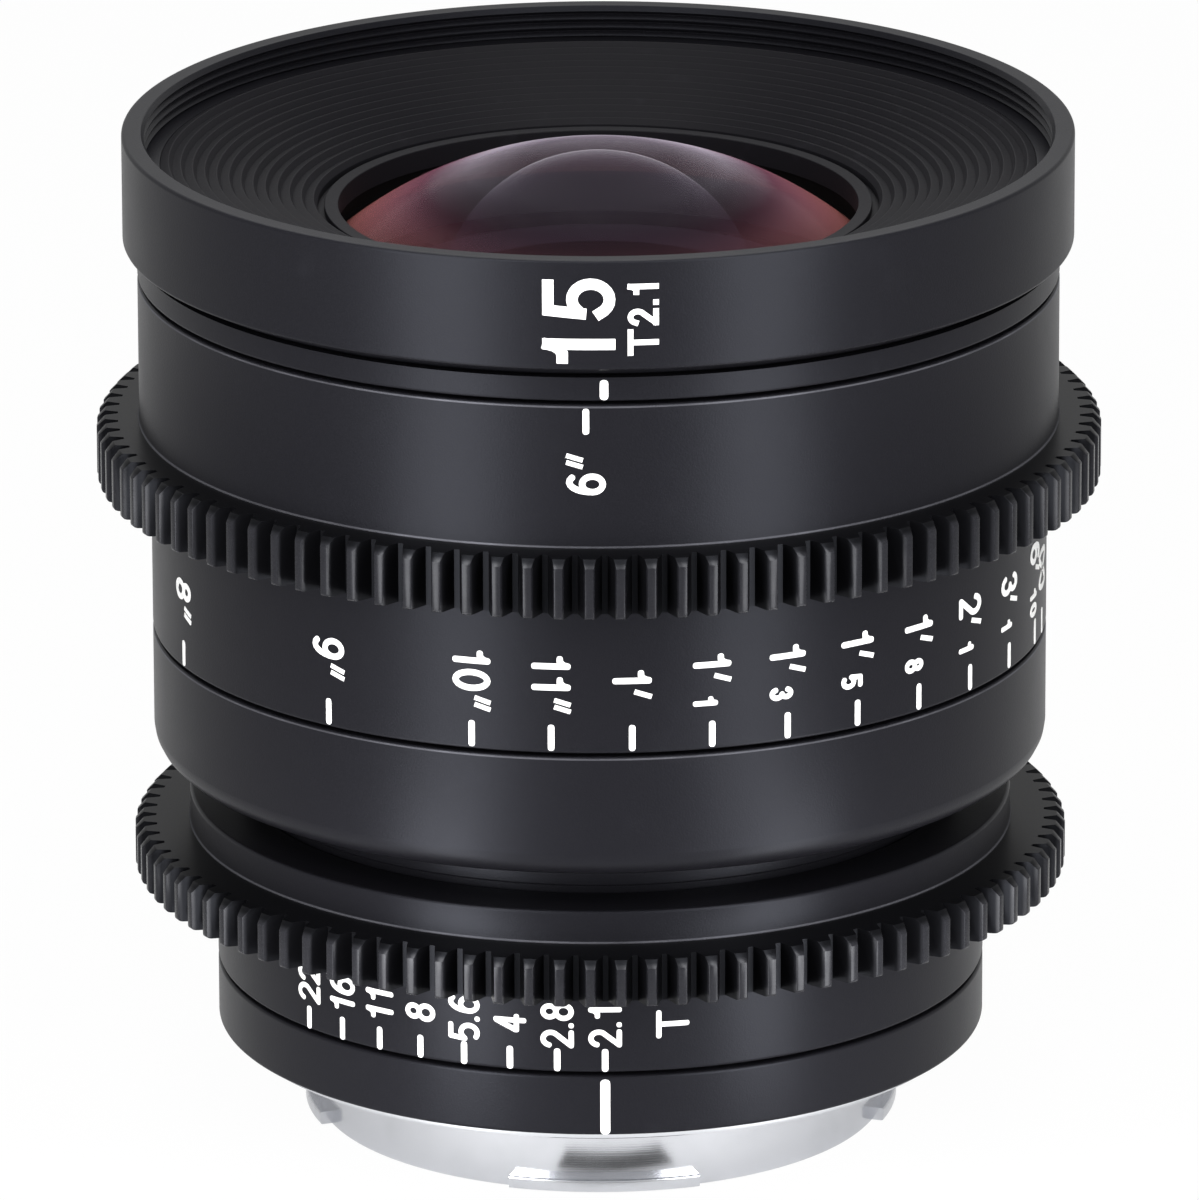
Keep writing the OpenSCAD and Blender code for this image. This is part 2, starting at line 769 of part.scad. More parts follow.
module rear_cell() {
    color(dark) turned([
        [r_rear_bore, z_cell_end], [r_rear_cell, z_cell_end], [r_rear_cell, z_seat],
        [r_tube_in - fit_gap, z_seat], [r_tube_in - fit_gap, z_base],
        [r_rear_bore - ring_land, z_base], [r_rear_bore - ring_land, z_seat], [r_rear_bore, z_seat]
    ]);
}

module rear_element_front() {
    z_ball = z_seat - rear_front_edge + sqrt(pow(rear_front_r, 2) - pow(r_rear_glass, 2));
    color(glass) intersection() {
        ball(rear_front_r, z_ball);
        glass_blank(r_rear_glass, z_seat - r_rear_glass, z_seat);
    }
}

module rear_spacer() {
    r_in = r_rear_glass - spacer_wall;
    z_low = z_back_glass + rear_back_edge + sag(rear_back_top_r, r_rear_glass) - sag(rear_back_top_r, r_in);
    z_high = z_seat - rear_front_edge - sag(rear_front_r, r_rear_glass) + sag(rear_front_r, r_in);
    color(dark) tube(r_rear_glass, r_in, z_low + fit_gap, z_high - fit_gap);
}

module rear_element_back() {
    z_top = z_back_glass + rear_back_edge;
    color(glass) intersection() {
        ball(rear_back_top_r, z_top - sqrt(pow(rear_back_top_r, 2) - pow(r_rear_glass, 2)));
        ball(rear_back_low_r, z_back_glass + sqrt(pow(rear_back_low_r, 2) - pow(r_rear_glass, 2)));
        glass_blank(r_rear_glass, z_back_glass - r_rear_glass, z_top + r_rear_glass);
    }
}

module rear_retaining_ring() {
    r_in = r_rear_glass - ring_land;
    z1 = z_back_glass - sag(rear_back_low_r, r_rear_glass) + sag(rear_back_low_r, r_in) - fit_gap;
    color(dark) tube(r_rear_glass, r_in, z_cell_end, z1);
}

module mount_collar() {
    color(black) turned([
        [r_plate + fit_gap, flange_rim_h], [r_band - edge, flange_rim_h], [r_band, flange_rim_h + edge],
        [r_band, z_collar - edge], [r_band - edge, z_collar], [r_tube + fit_gap, z_collar],
        [r_tube + fit_gap, plate_t], [r_plate + fit_gap, plate_t]
    ]);
}

module mount_shim() {
    color(bright) difference() {
        tube(r_tube - fit_gap, r_seat + fit_gap, plate_t, z_tube);
        around(screw_count, screw_start) translate([r_screws, 0, 0])
            cylinder(r = screw_r + fit_gap, h = z_tube + cut, $fn = 32);
    }
}

module bayonet_mount() {
    color(bright) difference() {
        union() {
            turned([
                [r_throat, -spigot_h], [r_spigot, -spigot_h], [r_spigot, 0], [r_flange, 0],
                [r_flange, flange_rim_h], [r_plate, flange_rim_h], [r_plate, plate_t], [r_throat, plate_t]
            ]);
            around(lug_count, -90 - lug_angle / 2)
                rotate_extrude(angle = lug_angle) translate([r_spigot - spigot_wall / 2, -spigot_h])
                    square([spigot_wall / 2 + lug_reach, lug_t]);
        }
        around(screw_count, screw_start) translate([r_screws, 0, 0]) screw_form(plate_t + cut, fit_gap, cut);
        rotate(lock_hole_at) translate([r_screws, 0, -cut])
            cylinder(r = lock_hole_r, h = lock_hole_depth + cut, $fn = 32);
    }
}

// Countersunk screw with its head flush with the flange's face, or its hole with a gap all round
module screw_form(length, gap = 0, below = 0) {
    head = 2 * screw_r + gap;
    rotate_extrude($fn = 32) polygon([
        [0, -below], [head, -below], [head, 0], [screw_r + gap, screw_r], [screw_r + gap, length], [0, length]
    ]);
}

module mount_screws() {
    socket_r = socket_share * screw_r;
    color(bright) around(screw_count, screw_start) translate([r_screws, 0, 0]) difference() {
        screw_form(z_tube + screw_depth);
        translate([0, 0, -cut]) cylinder(r = socket_r, h = socket_r + cut, $fn = 6);
    }
}

module rear_baffle() {
    color(dark) translate([0, 0, z_rear_baffle]) linear_extrude(baffle_t) difference() {
        circle(r = r_throat - fit_gap);
        square([window_w, window_h - 2 * window_corner], center = true);
        square([window_w - 2 * window_corner, window_h], center = true);
        for (x = [-1, 1], y = [-1, 1])
            translate([x * (window_w / 2 - window_corner), y * (window_h / 2 - window_corner)])
                circle(r = window_corner);
    }
}

front_ring();
front_baffle();
front_cell();
front_element();
front_retaining_ring();
second_element();
second_retaining_ring();
front_lock_ring();
index_ring();
main_barrel();
guide_plate();
guide_rods();
rear_barrel();
rear_cell();
rear_element_front();
rear_spacer();
rear_element_back();
rear_retaining_ring();
iris_base();
iris_cover();
mount_collar();
mount_shim();
bayonet_mount();
mount_screws();
rear_baffle();
focus_sleeve();
focus_gear();
distance_scale_ring();
helicoid_ring();
focus_drive_key();
focus_cell();
focus_element_front();
focus_element_rear();
focus_retaining_ring();
iris_ring();
iris_gear();
iris_drive_pin();
iris_actuator();
iris_blade(0);  // iris_blade_1
iris_blade(1);  // iris_blade_2
iris_blade(2);  // iris_blade_3
iris_blade(3);  // iris_blade_4
iris_blade(4);  // iris_blade_5
iris_blade(5);  // iris_blade_6
iris_blade(6);  // iris_blade_7
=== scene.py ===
"""Cinema prime lens: its machined rings, gears, glass, scales and finishes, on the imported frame."""

import json
import math

import bmesh
import bpy
from bpy.props import FloatProperty, FloatVectorProperty, IntProperty, PointerProperty
from mathutils import Matrix, Vector


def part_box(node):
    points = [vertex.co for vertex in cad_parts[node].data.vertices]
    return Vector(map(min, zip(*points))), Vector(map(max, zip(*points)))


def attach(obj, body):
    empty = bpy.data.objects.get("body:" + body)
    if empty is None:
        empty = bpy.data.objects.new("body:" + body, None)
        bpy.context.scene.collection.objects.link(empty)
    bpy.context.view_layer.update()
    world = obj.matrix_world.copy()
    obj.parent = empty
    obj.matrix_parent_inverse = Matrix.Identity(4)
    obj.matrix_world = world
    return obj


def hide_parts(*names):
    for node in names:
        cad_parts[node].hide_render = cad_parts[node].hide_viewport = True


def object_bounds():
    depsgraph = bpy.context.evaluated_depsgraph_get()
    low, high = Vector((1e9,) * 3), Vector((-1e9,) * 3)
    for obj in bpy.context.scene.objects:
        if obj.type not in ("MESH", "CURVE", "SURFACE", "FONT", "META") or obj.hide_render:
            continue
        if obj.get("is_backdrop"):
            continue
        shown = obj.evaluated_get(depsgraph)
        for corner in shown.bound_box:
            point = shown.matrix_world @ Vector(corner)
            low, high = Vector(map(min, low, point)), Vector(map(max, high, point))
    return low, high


bl_info = {
    "name": "Cinema prime lens",
    "version": (1, 0, 0),
    "blender": (4, 5, 0),
    "location": "3D View > Sidebar > Lens",
    "description": "Models the visible pieces of a cinema prime lens and finishes all of its parts",
    "category": "Object",
}

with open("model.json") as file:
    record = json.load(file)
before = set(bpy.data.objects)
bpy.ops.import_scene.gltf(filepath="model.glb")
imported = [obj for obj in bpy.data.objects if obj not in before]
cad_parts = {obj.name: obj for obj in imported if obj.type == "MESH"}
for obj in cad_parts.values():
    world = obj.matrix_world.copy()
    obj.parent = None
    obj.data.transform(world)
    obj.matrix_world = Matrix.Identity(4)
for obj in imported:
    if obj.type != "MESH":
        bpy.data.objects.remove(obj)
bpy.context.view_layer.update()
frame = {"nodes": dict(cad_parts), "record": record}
RECORD = frame["record"]
BODY_OF = {node: body for body, nodes in RECORD["behaviour"]["bodies"].items() for node in nodes}
SLOT_OF = {part["node"]: part["material_slot"] for part in RECORD["subparts"]}

MM = 0.001
MERGE = 0.001 * MM
TURN_STEPS = 256
PART_TURN_STEPS = 24
HOLE_STEPS = 32
ARC_STEP = math.radians(18)
SUPPORT = 0.03 * MM
SMOOTH_ANGLE = math.radians(30)
CAP_STEPS = 28
MOUNT_EDGE = 0.2 * MM
# How far a cutting tool runs past the metal
OVERCUT = MM


def low(node):
    """Lowest height of a CAD node."""
    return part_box(node)[0].z


def high(node):
    """Highest height of a CAD node."""
    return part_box(node)[1].z


def reach(node):
    """Outside radius of a CAD node that is turned about the axis."""
    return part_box(node)[1].x


# Sizes and colours


def length(name, description, default_mm):
    """A length property given in millimetres."""
    return FloatProperty(name=name, description=description, default=default_mm * MM,
                         unit="LENGTH", precision=5)


def bearing(name, description, degrees):
    """An angle property given in degrees."""
    return FloatProperty(name=name, description=description, default=math.radians(degrees), subtype="ANGLE")


def amount(name, description, default):
    """A plain number, such as a brightness or a share."""
    return FloatProperty(name=name, description=description, default=default)


def count(name, description, default):
    """A whole number of like features."""
    return IntProperty(name=name, description=description, default=default)


def colour(name, description, *default):
    """A colour property."""
    return FloatVectorProperty(name=name, description=description, default=default, subtype="COLOR", size=3)


class LensSizes(bpy.types.PropertyGroup):
    """Sizes that the frame's boxes don't give."""

    edge: length("Edge", "Rounding of the rings' outer corners", 0.28)
    gap: length("Running gap", "Gap between rings that turn past each other", 0.3)
    fit: length("Fit", "Gap between pieces that are fixed to each other", 0.05)
    flare_h: length("Flare height", "Height of the bevel where a ring rises from its gear", 0.22)
    flare_w: length("Flare width", "Width of the bevel where a ring rises from its gear", 0.12)
    bevel_h: length("Front bevel", "Height of the bevel below the front wall", 1.05)
    bevel_round: length("Bevel round", "Rounding between the front bevel and the front wall", 0.3)
    rim_round: length("Rim round", "Rounding inside the front rim", 0.1)
    land: length("Land", "Plain land above the filter thread", 0.45)
    undercut: length("Undercut", "Depth of the shadow line under the front ring", 0.9)
    wall: length("Front wall", "Wall round the filter thread", 1.9)
    filter_depth: length("Filter depth", "Depth of the filter thread", 2.8)
    thread_pitch: length("Thread pitch", "Pitch of the filter thread", 0.75)
    thread_depth: length("Thread depth", "Depth of the filter thread's grooves", 0.38)
    floor_bore: length("Floor bore", "Radius of the hole in the front ring's floor", 28.5)
    lip_in: length("Lip", "Inner radius of the baffle's lip", 21.85)
    lip_w: length("Lip width", "Width of the baffle's lip", 1.75)
    lip_h: length("Lip height", "Height of the baffle's lip above its floor", 1.8)
    lip_round: length("Lip round", "Rounding of the baffle lip's inner corner", 0.1)
    groove_round: length("Groove round", "Rounding of the corners beside the lip's groove", 0.08)
    rib_h: length("Rib", "Height of one baffle rib", 0.45)
    rib_round: length("Rib round", "Rounding of a baffle rib's crest", 0.07)
    ribs: count("Ribs", "Number of ribs on the baffle", 13)
    scale_wall: length("Scale wall", "Wall of the distance scale ring", 0.81)
    key_slot: length("Key slot", "How much longer than the drive key its window is", 4)
    module: length("Gear module", "Module of the drive gears", 0.8)
    tooth_bevel: length("Tooth bevel", "Bevel on the front ends of the teeth", 0.7)
    tooth_round: length("Tooth round", "Rounding of the rear ends of the teeth", 0.3)
    tooth_edge: length("Tooth edge", "Broken edge along the tips of the teeth", 0.07)
    focus_teeth: count("Focus teeth", "Teeth of the focus gear", 104)
    iris_teeth: count("Iris teeth", "Teeth of the iris gear", 97)
    rear_z: length("Rear barrel", "Height of the rear barrel's lower edge", 25.05)
    rear_round: length("Rear round", "Rounding of the rear barrel's lower edge", 2.2)
    neck_r: length("Neck", "Radius of the neck above the iris ring", 30.4)
    neck_round: length("Neck round", "Rounding of the neck's lower corner", 0.15)
    pin_turn: bearing("Pin", "Where the iris drive pin stands at rest", 60)
    iris_throw: bearing("Iris throw", "How far the iris ring turns", 49)
    hub_drop: length("Hub drop", "How far the iris ring's hub stays below its CAD box", 0.35)
    tube_r: length("Rear tube", "Outside radius of the rear tube", 30)
    tube_bore: length("Rear bore", "Inside radius of the rear tube", 28)
    seat_r: length("Rear seat", "Inside radius of the ledge that carries the rear cell", 26)
    plate_r: length("Mount plate", "Radius of the bayonet's plate inside the collar", 30.9)
    plate_t: length("Plate", "Thickness of the bayonet's plate", 2)
    rim_h: length("Flange rim", "Height of the flange rim below the collar", 0.8)
    rim_r: length("Rim radius", "Outside radius of the flange rim", 31.4)
    spigot_more: length("Spigot end", "How far the spigot's finished end stands below its CAD box", 1.0)
    spigot_r: length("Spigot", "Outside radius of the bayonet's spigot", 24.2)
    spigot_wall: length("Spigot wall", "Wall of the bayonet's spigot", 1.6)
    lug_reach: length("Lug reach", "Reach of the bayonet lugs beyond the spigot", 1.1)
    lug_t: length("Lug", "Thickness of the bayonet lugs", 1.3)
    lugs: count("Lugs", "Number of bayonet lugs", 4)
    lug_sweep: bearing("Lug sweep", "Angle that a bayonet lug takes up", 37)
    lock_r: length("Lock hole", "Radius of the hole for the camera's lock pin", 1.6)
    lock_depth: length("Lock depth", "Depth of the hole for the camera's lock pin", 1.2)
    lock_turn: bearing("Lock place", "Where the hole for the camera's lock pin lies", -60)
    screws: count("Screws", "Number of mount screws", 6)
    screw_start: bearing("First screw", "Where the first mount screw stands", 30)
    screw_depth: length("Screw depth", "Depth of the screw holes in the rear barrel", 2.9)
    screw_through: length("Screw passage", "Length of the screw holes through the mount's plate", 3)
    screw_ring: length("Screw circle", "Radius of the circle of mount screws", 28)
    screw_r: length("Screw", "Radius of a mount screw's shank", 0.8)
    dome: length("Dome", "Radius of the front glass's dome", 34.9)
    hollow: length("Hollow", "Radius of the bright hollow behind the dome", 13.6)
    glass_t: length("Glass", "Thickness of the front glass on the axis", 0.42)
    retainer_bore: length("Retainer", "Inside radius of the ring that holds the front glass", 22.6)
    second_dome: length("Second dome", "Front radius of the second glass", 40)
    second_hollow: length("Second hollow", "Rear radius of the second glass", 19)
    second_t: length("Second glass", "Thickness of the second glass on the axis", 1.6)
    focus_face: length("Focus face", "Front radius of the focus group", 60)
    cement: length("Cemented face", "Radius of the face where the two focus glasses meet", 70)
    rear_face: length("Rear face", "Rear radius of the first rear glass", 80)
    back_front: length("Last front face", "Front radius of the last glass", 200)
    back_rear: length("Last rear face", "Rear radius of the last glass", 70)
    raised: length("Raised", "Height of the filled marks above the metal", 0.035)
    sunk: length("Sunk", "Depth of the filled marks in the metal", 0.06)


class MarkSizes(bpy.types.PropertyGroup):
    """Sizes and places of the figures and lines."""

    front_figure: length("Focal length", "Height of the focal length's figures", 5.95)
    front_pen: length("Focal length pen", "Width of the focal length's strokes", 0.93)
    front_gap: length("Focal length gap", "Gap between the focal length's figures", 1.0)
    front_z: length("Focal length place", "Height of the focal length's middle", 73.7)
    front_shift: length("Focal length shift", "Shift of the focal length round the ring", -2.05)
    widest_figure: length("Widest stop", "Height of the widest stop's figures", 2.55)
    widest_pen: length("Widest stop pen", "Width of the widest stop's strokes", 0.46)
    widest_gap: length("Widest stop gap", "Gap between the widest stop's figures", 0.3)
    widest_z: length("Widest stop place", "Height of the widest stop's middle", 74.05)
    widest_shift: length("Widest stop shift", "Shift of the widest stop round the ring", 3.2)
    index_pen: length("Index", "Width of the focus index", 0.7)
    index_below: length("Index foot", "Metal left below the focus index", 0.15)
    index_above: length("Index head", "Metal left above the focus index", 0.2)
    focus_gap: length("Distance gap", "Gap between the distance figures", 0.2)
    line_pen: length("Line", "Width of the scales' lines", 0.54)
    upper_margin: length("Upper margin", "Metal left above the upper scale's lines", 0.3)
    upper_line: length("Upper line", "Length of the upper scale's lines", 2.2)
    upper_figures: length("Upper figures", "From the upper lines' heads to the figures' middle", 5.6)
    lower_margin: length("Lower margin", "Metal left below the lower scale's lines", 0.25)
    lower_line: length("Lower line", "Length of the lower scale's lines", 2.25)
    lower_figures: length("Lower figures", "From the lower lines' feet to the figures' middle", 5.8)
    rear_margin: length("Rear margin", "Metal left above the rear index", 0.35)
    stop_figure: length("Stops", "Height of the stop figures", 2.8)
    stop_pen: length("Stop pen", "Width of the stop figures' strokes", 0.44)
    stop_gap: length("Stop gap", "Gap between the stop figures", 0.16)
    stop_margin: length("Stop margin", "Metal left below the stop lines and the collar's index", 0.1)
    stop_line: length("Stop line", "Length of the stop lines", 2.0)
    stop_figures: length("Stop figures", "From the stop lines' feet to the figures' middle", 4.05)
    stop_letter: length("Stop letter", "Shift of the stop scale's letter round the ring", 5.67)
    stop_turn: bearing("Stop turn", "Turn of the iris ring from one stop to the next", 7.02)
    collar_pen: length("Collar index", "Width of the collar's index", 0.82)
    collar_above: length("Collar index head", "Metal left above the collar's index", 0.3)


class LensColours(bpy.types.PropertyGroup):
    """Colours of the finishes."""

    anodised: colour("Anodised", "Black anodised aluminium", 0.0056, 0.0054, 0.0069)
    # Also the colour of the painted highlight on the gear teeth's tips
    anodised_pale: colour("Rubbed anodising", "Anodising where hands rub it", 0.011, 0.011, 0.0135)
    # Bare edge colour: worn aluminium on edges, and also a painted highlight along them
    bare_edge_glint: colour("Bare edge", "Aluminium that shows on sharp edges", 0.24, 0.24, 0.27)
    # The tooth gap colour is painted shade: the gears darken towards their tooth roots
    gap: colour("Tooth gap", "Anodising between the teeth", 0.002, 0.002, 0.0024)
    baffle: colour("Baffle", "Matte black of the front baffle", 0.0078, 0.0075, 0.0094)
    inside: colour("Inside", "Matte black of the inner parts", 0.0026, 0.0026, 0.0028)
    plating: colour("Plating", "Bright plating of the bayonet", 0.62, 0.63, 0.66)
    steel: colour("Steel", "Ground steel of rods, pins and screws", 0.52, 0.52, 0.53)
    brass: colour("Brass", "Machined brass of the helicoid and the actuator", 0.62, 0.45, 0.17)
    blade: colour("Blade steel", "Blackened steel of the iris blades", 0.035, 0.035, 0.038)
    marking: colour("Marking", "White filling of the marks", 0.86, 0.86, 0.85)
    # Glass colours: the coatings' tint painted as reflections, the pale crown and the bright line being
    # painted highlights
    coat_centre: colour("Coating, inner", "Inner coatings near the axis", 0.05, 0.04, 0.06)
    coat_top: colour("Coating, top", "Front coating over the axis", 0.40, 0.34, 0.43)
    pale_coat_highlight: colour("Coating, crown", "Front coating half-way out", 0.90, 0.78, 0.95)
    coat_middle: colour("Coating, middle", "Front coating beyond the crown", 0.34, 0.13, 0.20)
    coat_edge: colour("Coating, edge", "Front coating at the edge", 0.50, 0.17, 0.15)
    coat_haze: colour("Haze", "Coating of the hollow behind the dome", 0.16, 0.12, 0.19)
    painted_line_highlight: colour("Bright line", "Edge of the hollow behind the dome", 0.95, 0.92, 0.98)
    amber: colour("Amber", "Reflection of the inner coatings", 0.55, 0.10, 0.03)
    floor: colour("Floor", "Pale floor", 0.8, 0.8, 0.8)


class StageSettings(bpy.types.PropertyGroup):
    """Camera and light."""

    distance: length("Distance", "Distance of the camera in front of the axis", 1117.6)
    height: length("Height", "Height of the camera above the flange's face", 396.77)
    pitch: bearing("Pitch", "How far the camera looks down", 17.835)
    turn: bearing("Turn", "Turn of the camera round the axis", -0.62)
    roll: bearing("Roll", "Roll of the camera", -0.177)
    focal: amount("Focal length", "Focal length in millimetres for the sensor's height", 415.3)
    sensor: amount("Sensor", "Height of the camera's sensor in millimetres", 36)
    card_left: amount("Left card", "Brightness of the left light card", 7.5)
    card_right: amount("Right card", "Brightness of the right light card", 7.0)
    card_low: amount("Low cards", "Brightness of the two cards near the floor", 8.0)
    back: amount("Back softbox", "Brightness of the softbox behind the lens", 3.0)
    top: amount("Top softbox", "Brightness of the softbox above", 2.6)
    aim: length("Aim", "Greatest height that the lights aim at", 45)
    ambient: amount("Ambient", "Strength of the surrounding light", 0.25)
    mirrored: amount("Mirrored", "Share of the white background that metal mirrors", 0.5)
    floor_glow: amount("Floor glow", "Share of the floor that is plain white", 0.97)
    floor_size: length("Floor", "Side of the floor", 12000)
    # The sheet of painted shade lies this far above the floor
    shade_sheet_lift: length("Flag lift", "Height of the dark flag above the floor", 0.3)


# Modelling steps


def begin(name, point):
    """Starts a piece in edit mode as one vertex at a point."""
    bpy.ops.object.select_all(action="DESELECT")
    bpy.ops.mesh.primitive_plane_add(size=MM)
    piece = bpy.context.object
    piece.name = name
    piece.data.name = name
    bpy.ops.object.mode_set(mode="EDIT")
    bpy.ops.mesh.select_mode(type="VERT")
    bpy.ops.mesh.select_all(action="SELECT")
    bpy.ops.mesh.merge(type="CENTER")
    bpy.ops.transform.translate(value=point)
    return piece


def draw(points):
    """Extrudes the one selected vertex along a chain of points that starts at it."""
    for here, there in zip(points, points[1:]):
        bpy.ops.mesh.extrude_region_move(TRANSFORM_OT_translate={"value": Vector(there) - Vector(here)})


def seal(piece):
    """Merges the doubles, turns the faces outwards, leaves edit mode and smooths the shallow edges."""
    bpy.ops.mesh.select_all(action="SELECT")
    bpy.ops.mesh.remove_doubles(threshold=MERGE)
    bpy.ops.mesh.normals_make_consistent(inside=False)
    bpy.ops.object.mode_set(mode="OBJECT")
    smooth(piece)


def smooth(piece):
    """Smooths the shallow edges of a piece."""
    choose(piece)
    bpy.ops.object.shade_smooth_by_angle(angle=SMOOTH_ANGLE)


def choose(piece, *others):
    """Selects only these objects, the first of them active."""
    bpy.ops.object.select_all(action="DESELECT")
    for each in (piece, *others):
        each.select_set(True)
    bpy.context.view_layer.objects.active = piece


def modify(piece, kind, **settings):
    """Adds a modifier with its settings and applies it."""
    choose(piece)
    bpy.ops.object.modifier_add(type=kind)
    modifier = piece.modifiers[-1]
    for name, value in settings.items():
        setattr(modifier, name, value)
    bpy.ops.object.modifier_apply(modifier=modifier.name)


def combine(piece, tool, operation):
    """Adds a tool to a piece or cuts it out, and removes the tool."""
    modify(piece, "BOOLEAN", operation=operation, object=tool, solver="EXACT")
    bpy.data.objects.remove(tool)
    smooth(piece)


def rounded(outline):
    """A closed outline of (radius, height, corner radius) points, with its corners drawn as arcs."""
    points = []
    for i, corner in enumerate(outline):
        here = Vector(corner[:2])
        radius = corner[2] if len(corner) > 2 else 0
        if not radius:
            points.append(here)
            continue
        before = (Vector(outline[i - 1][:2]) - here).normalized()
        after = (Vector(outline[(i + 1) % len(outline)][:2]) - here).normalized()
        half = before.angle(after) / 2
        tangent = radius / math.tan(half)
        centre = here + (before + after).normalized() * radius / math.sin(half)
        start = here + before * tangent - centre
        sweep = (math.pi - 2 * half) * (1 if before.x * after.y - before.y * after.x < 0 else -1)
        steps = max(2, math.ceil(abs(sweep) / ARC_STEP))
        points.append(here + before * (tangent + SUPPORT))
        for k in range(steps + 1):
            points.append(centre + Matrix.Rotation(sweep * k / steps, 2) @ start)
        points.append(here + after * (tangent + SUPPORT))
    return points


def turned(name, outline, closed=True, steps=TURN_STEPS, sweep=math.tau, start=math.pi / 2):
    """A piece turned about the axis from an outline of (radius, height) points."""
    side = Vector((math.cos(start), math.sin(start), 0))
    chain = [side * point[0] + Vector((0, 0, point[1])) for point in outline]
    if closed:
        chain.append(chain[0])
    piece = begin(name, chain[0])
    draw(chain)
    bpy.ops.mesh.select_all(action="SELECT")
    if closed:
        bpy.ops.mesh.remove_doubles(threshold=MERGE)
    if sweep < math.tau:
        bpy.ops.mesh.edge_face_add()
    bpy.ops.mesh.spin(steps=steps, angle=-sweep, center=(0, 0, 0), axis=(0, 0, 1))
    seal(piece)
    return piece


def disc(name, radius, bottom, top, side):
    """A short round bar for a hole, with its axis along Z or along a level direction."""
    bpy.ops.object.select_all(action="DESELECT")
    bpy.ops.mesh.primitive_cylinder_add(vertices=HOLE_STEPS, radius=radius, depth=top - bottom)
    piece = bpy.context.object
    piece.name = name
    piece.data.transform(side @ Matrix.Translation((0, 0, (top + bottom) / 2)))
    return piece


def joined(pieces):
    """Joins pieces into the first of them."""
    choose(*pieces)
    if len(pieces) > 1:
        bpy.ops.object.join()
    return pieces[0]


def pick_edges(piece, test):
    """Selects the edges of a piece in edit mode that pass a test."""
    bpy.ops.mesh.select_mode(type="EDGE")
    bpy.ops.mesh.select_all(action="DESELECT")
    mesh = bmesh.from_edit_mesh(piece.data)
    for edge in mesh.edges:
        edge.select_set(test(edge))
    mesh.select_flush_mode()
    bmesh.update_edit_mesh(piece.data)


def dress(piece, material, *nodes, body=None, slot=None):
    """Gives a piece its material and body, and lets it stand for its CAD nodes; the slot argument is not
    used.
    """
    piece.data.materials.clear()
    piece.data.materials.append(material)
    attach(piece, body or BODY_OF[nodes[0]])
    if nodes:
        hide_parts(*nodes)


# Finishes


class Wire:
    """One output of a finish's nodes. Arithmetic on it adds Math nodes."""

    def __init__(self, finish, socket):
        self.finish = finish
        self.socket = socket

    def math(self, operation, *values):
        """The result of a Math node."""
        return self.finish.node("ShaderNodeMath", {"operation": operation}, dict(enumerate(values)))

    def __add__(self, other):
        return self.math("ADD", self, other)

    def __sub__(self, other):
        return self.math("SUBTRACT", self, other)

    def __rsub__(self, other):
        return self.math("SUBTRACT", other, self)

    def __mul__(self, other):
        return self.math("MULTIPLY", self, other)

    def __truediv__(self, other):
        return self.math("DIVIDE", self, other)

    def __pow__(self, other):
        return self.math("POWER", self, other)

    def __abs__(self):
        return self.math("ABSOLUTE", self)

    __radd__ = __add__
    __rmul__ = __mul__


class Finish:
    """A material, or the world, in the making."""

    def __init__(self, name, world=False):
        store = bpy.data.worlds if world else bpy.data.materials
        self.owner = store.new(name)
        self.owner.use_nodes = True
        self.tree = self.owner.node_tree
        self.tree.nodes.clear()

    def node(self, kind, settings=None, sockets=None, out=0):
        """Adds a node: its settings first, then the values or links of its sockets."""
        made = self.tree.nodes.new(kind)
        for name, value in (settings or {}).items():
            if name == "stops":
                self.set_stops(made.color_ramp, value)
            else:
                setattr(made, name, value)
        for key, value in (sockets or {}).items():
            if isinstance(value, Wire):
                self.tree.links.new(value.socket, made.inputs[key])
            else:
                made.inputs[key].default_value = value
        return Wire(self, made.outputs[out]) if made.outputs else None

    @staticmethod
    def set_stops(ramp, stops):
        """Fills a colour ramp with (place, colour) stops."""
        while len(ramp.elements) < len(stops):
            ramp.elements.new(1.0)
        for element, (place, shade) in zip(ramp.elements, stops):
            element.position = place
            element.color = (*shade, 1)

    def place(self):
        """The point on the piece, in metres."""
        return self.node("ShaderNodeTexCoord", out=3)

    def axes(self):
        """The point's three coordinates, in metres."""
        split = self.node("ShaderNodeSeparateXYZ", sockets={0: self.place()}).socket.node
        return [Wire(self, socket) for socket in split.outputs]

    def cylinder(self):
        """Distance from the axis and height, in metres."""
        x, y, z = self.axes()
        return (x * x + y * y) ** 0.5, z

    def noise(self, scale, detail=2.0, vector=None):
        """Noise from 0 to 1, with a scale in waves per metre."""
        return self.node("ShaderNodeTexNoise", None,
                         {"Vector": vector or self.place(), "Scale": scale, "Detail": detail})

    def ramp(self, value, first, last):
        """0 at one value and 1 at another, with a smooth rise between them."""
        return self.node("ShaderNodeMapRange", {"interpolation_type": "SMOOTHSTEP"},
                         {0: value, 1: first, 2: last})

    def blend(self, factor, first, second):
        """A mix of two colours."""
        return self.node("ShaderNodeMix", {"data_type": "RGBA"},
                         {0: factor, 6: opaque(first), 7: opaque(second)}, out=2)

    def slant(self):
        """0 where the surface faces the eye and 1 where it turns away."""
        return self.node("ShaderNodeLayerWeight", None, {"Blend": 0.5}, out=1)

    def bump(self, height, distance, strength):
        """A normal from a height that runs from 0 to 1."""
        return self.node("ShaderNodeBump", None,
                         {"Strength": strength, "Distance": distance, "Height": height})

    def done(self, **sockets):
        """Closes the finish with a Principled shader and returns the material."""
        named = {key.replace("_", " ").title().replace("Ior", "IOR"): value
                 for key, value in sockets.items()}
        shader = self.node("ShaderNodeBsdfPrincipled", None, named)
        self.node("ShaderNodeOutputMaterial", None, {"Surface": shader})
        return self.owner


def opaque(shade):
    """A colour with alpha, or the wire it already is."""
    return shade if isinstance(shade, Wire) else (*shade, 1)


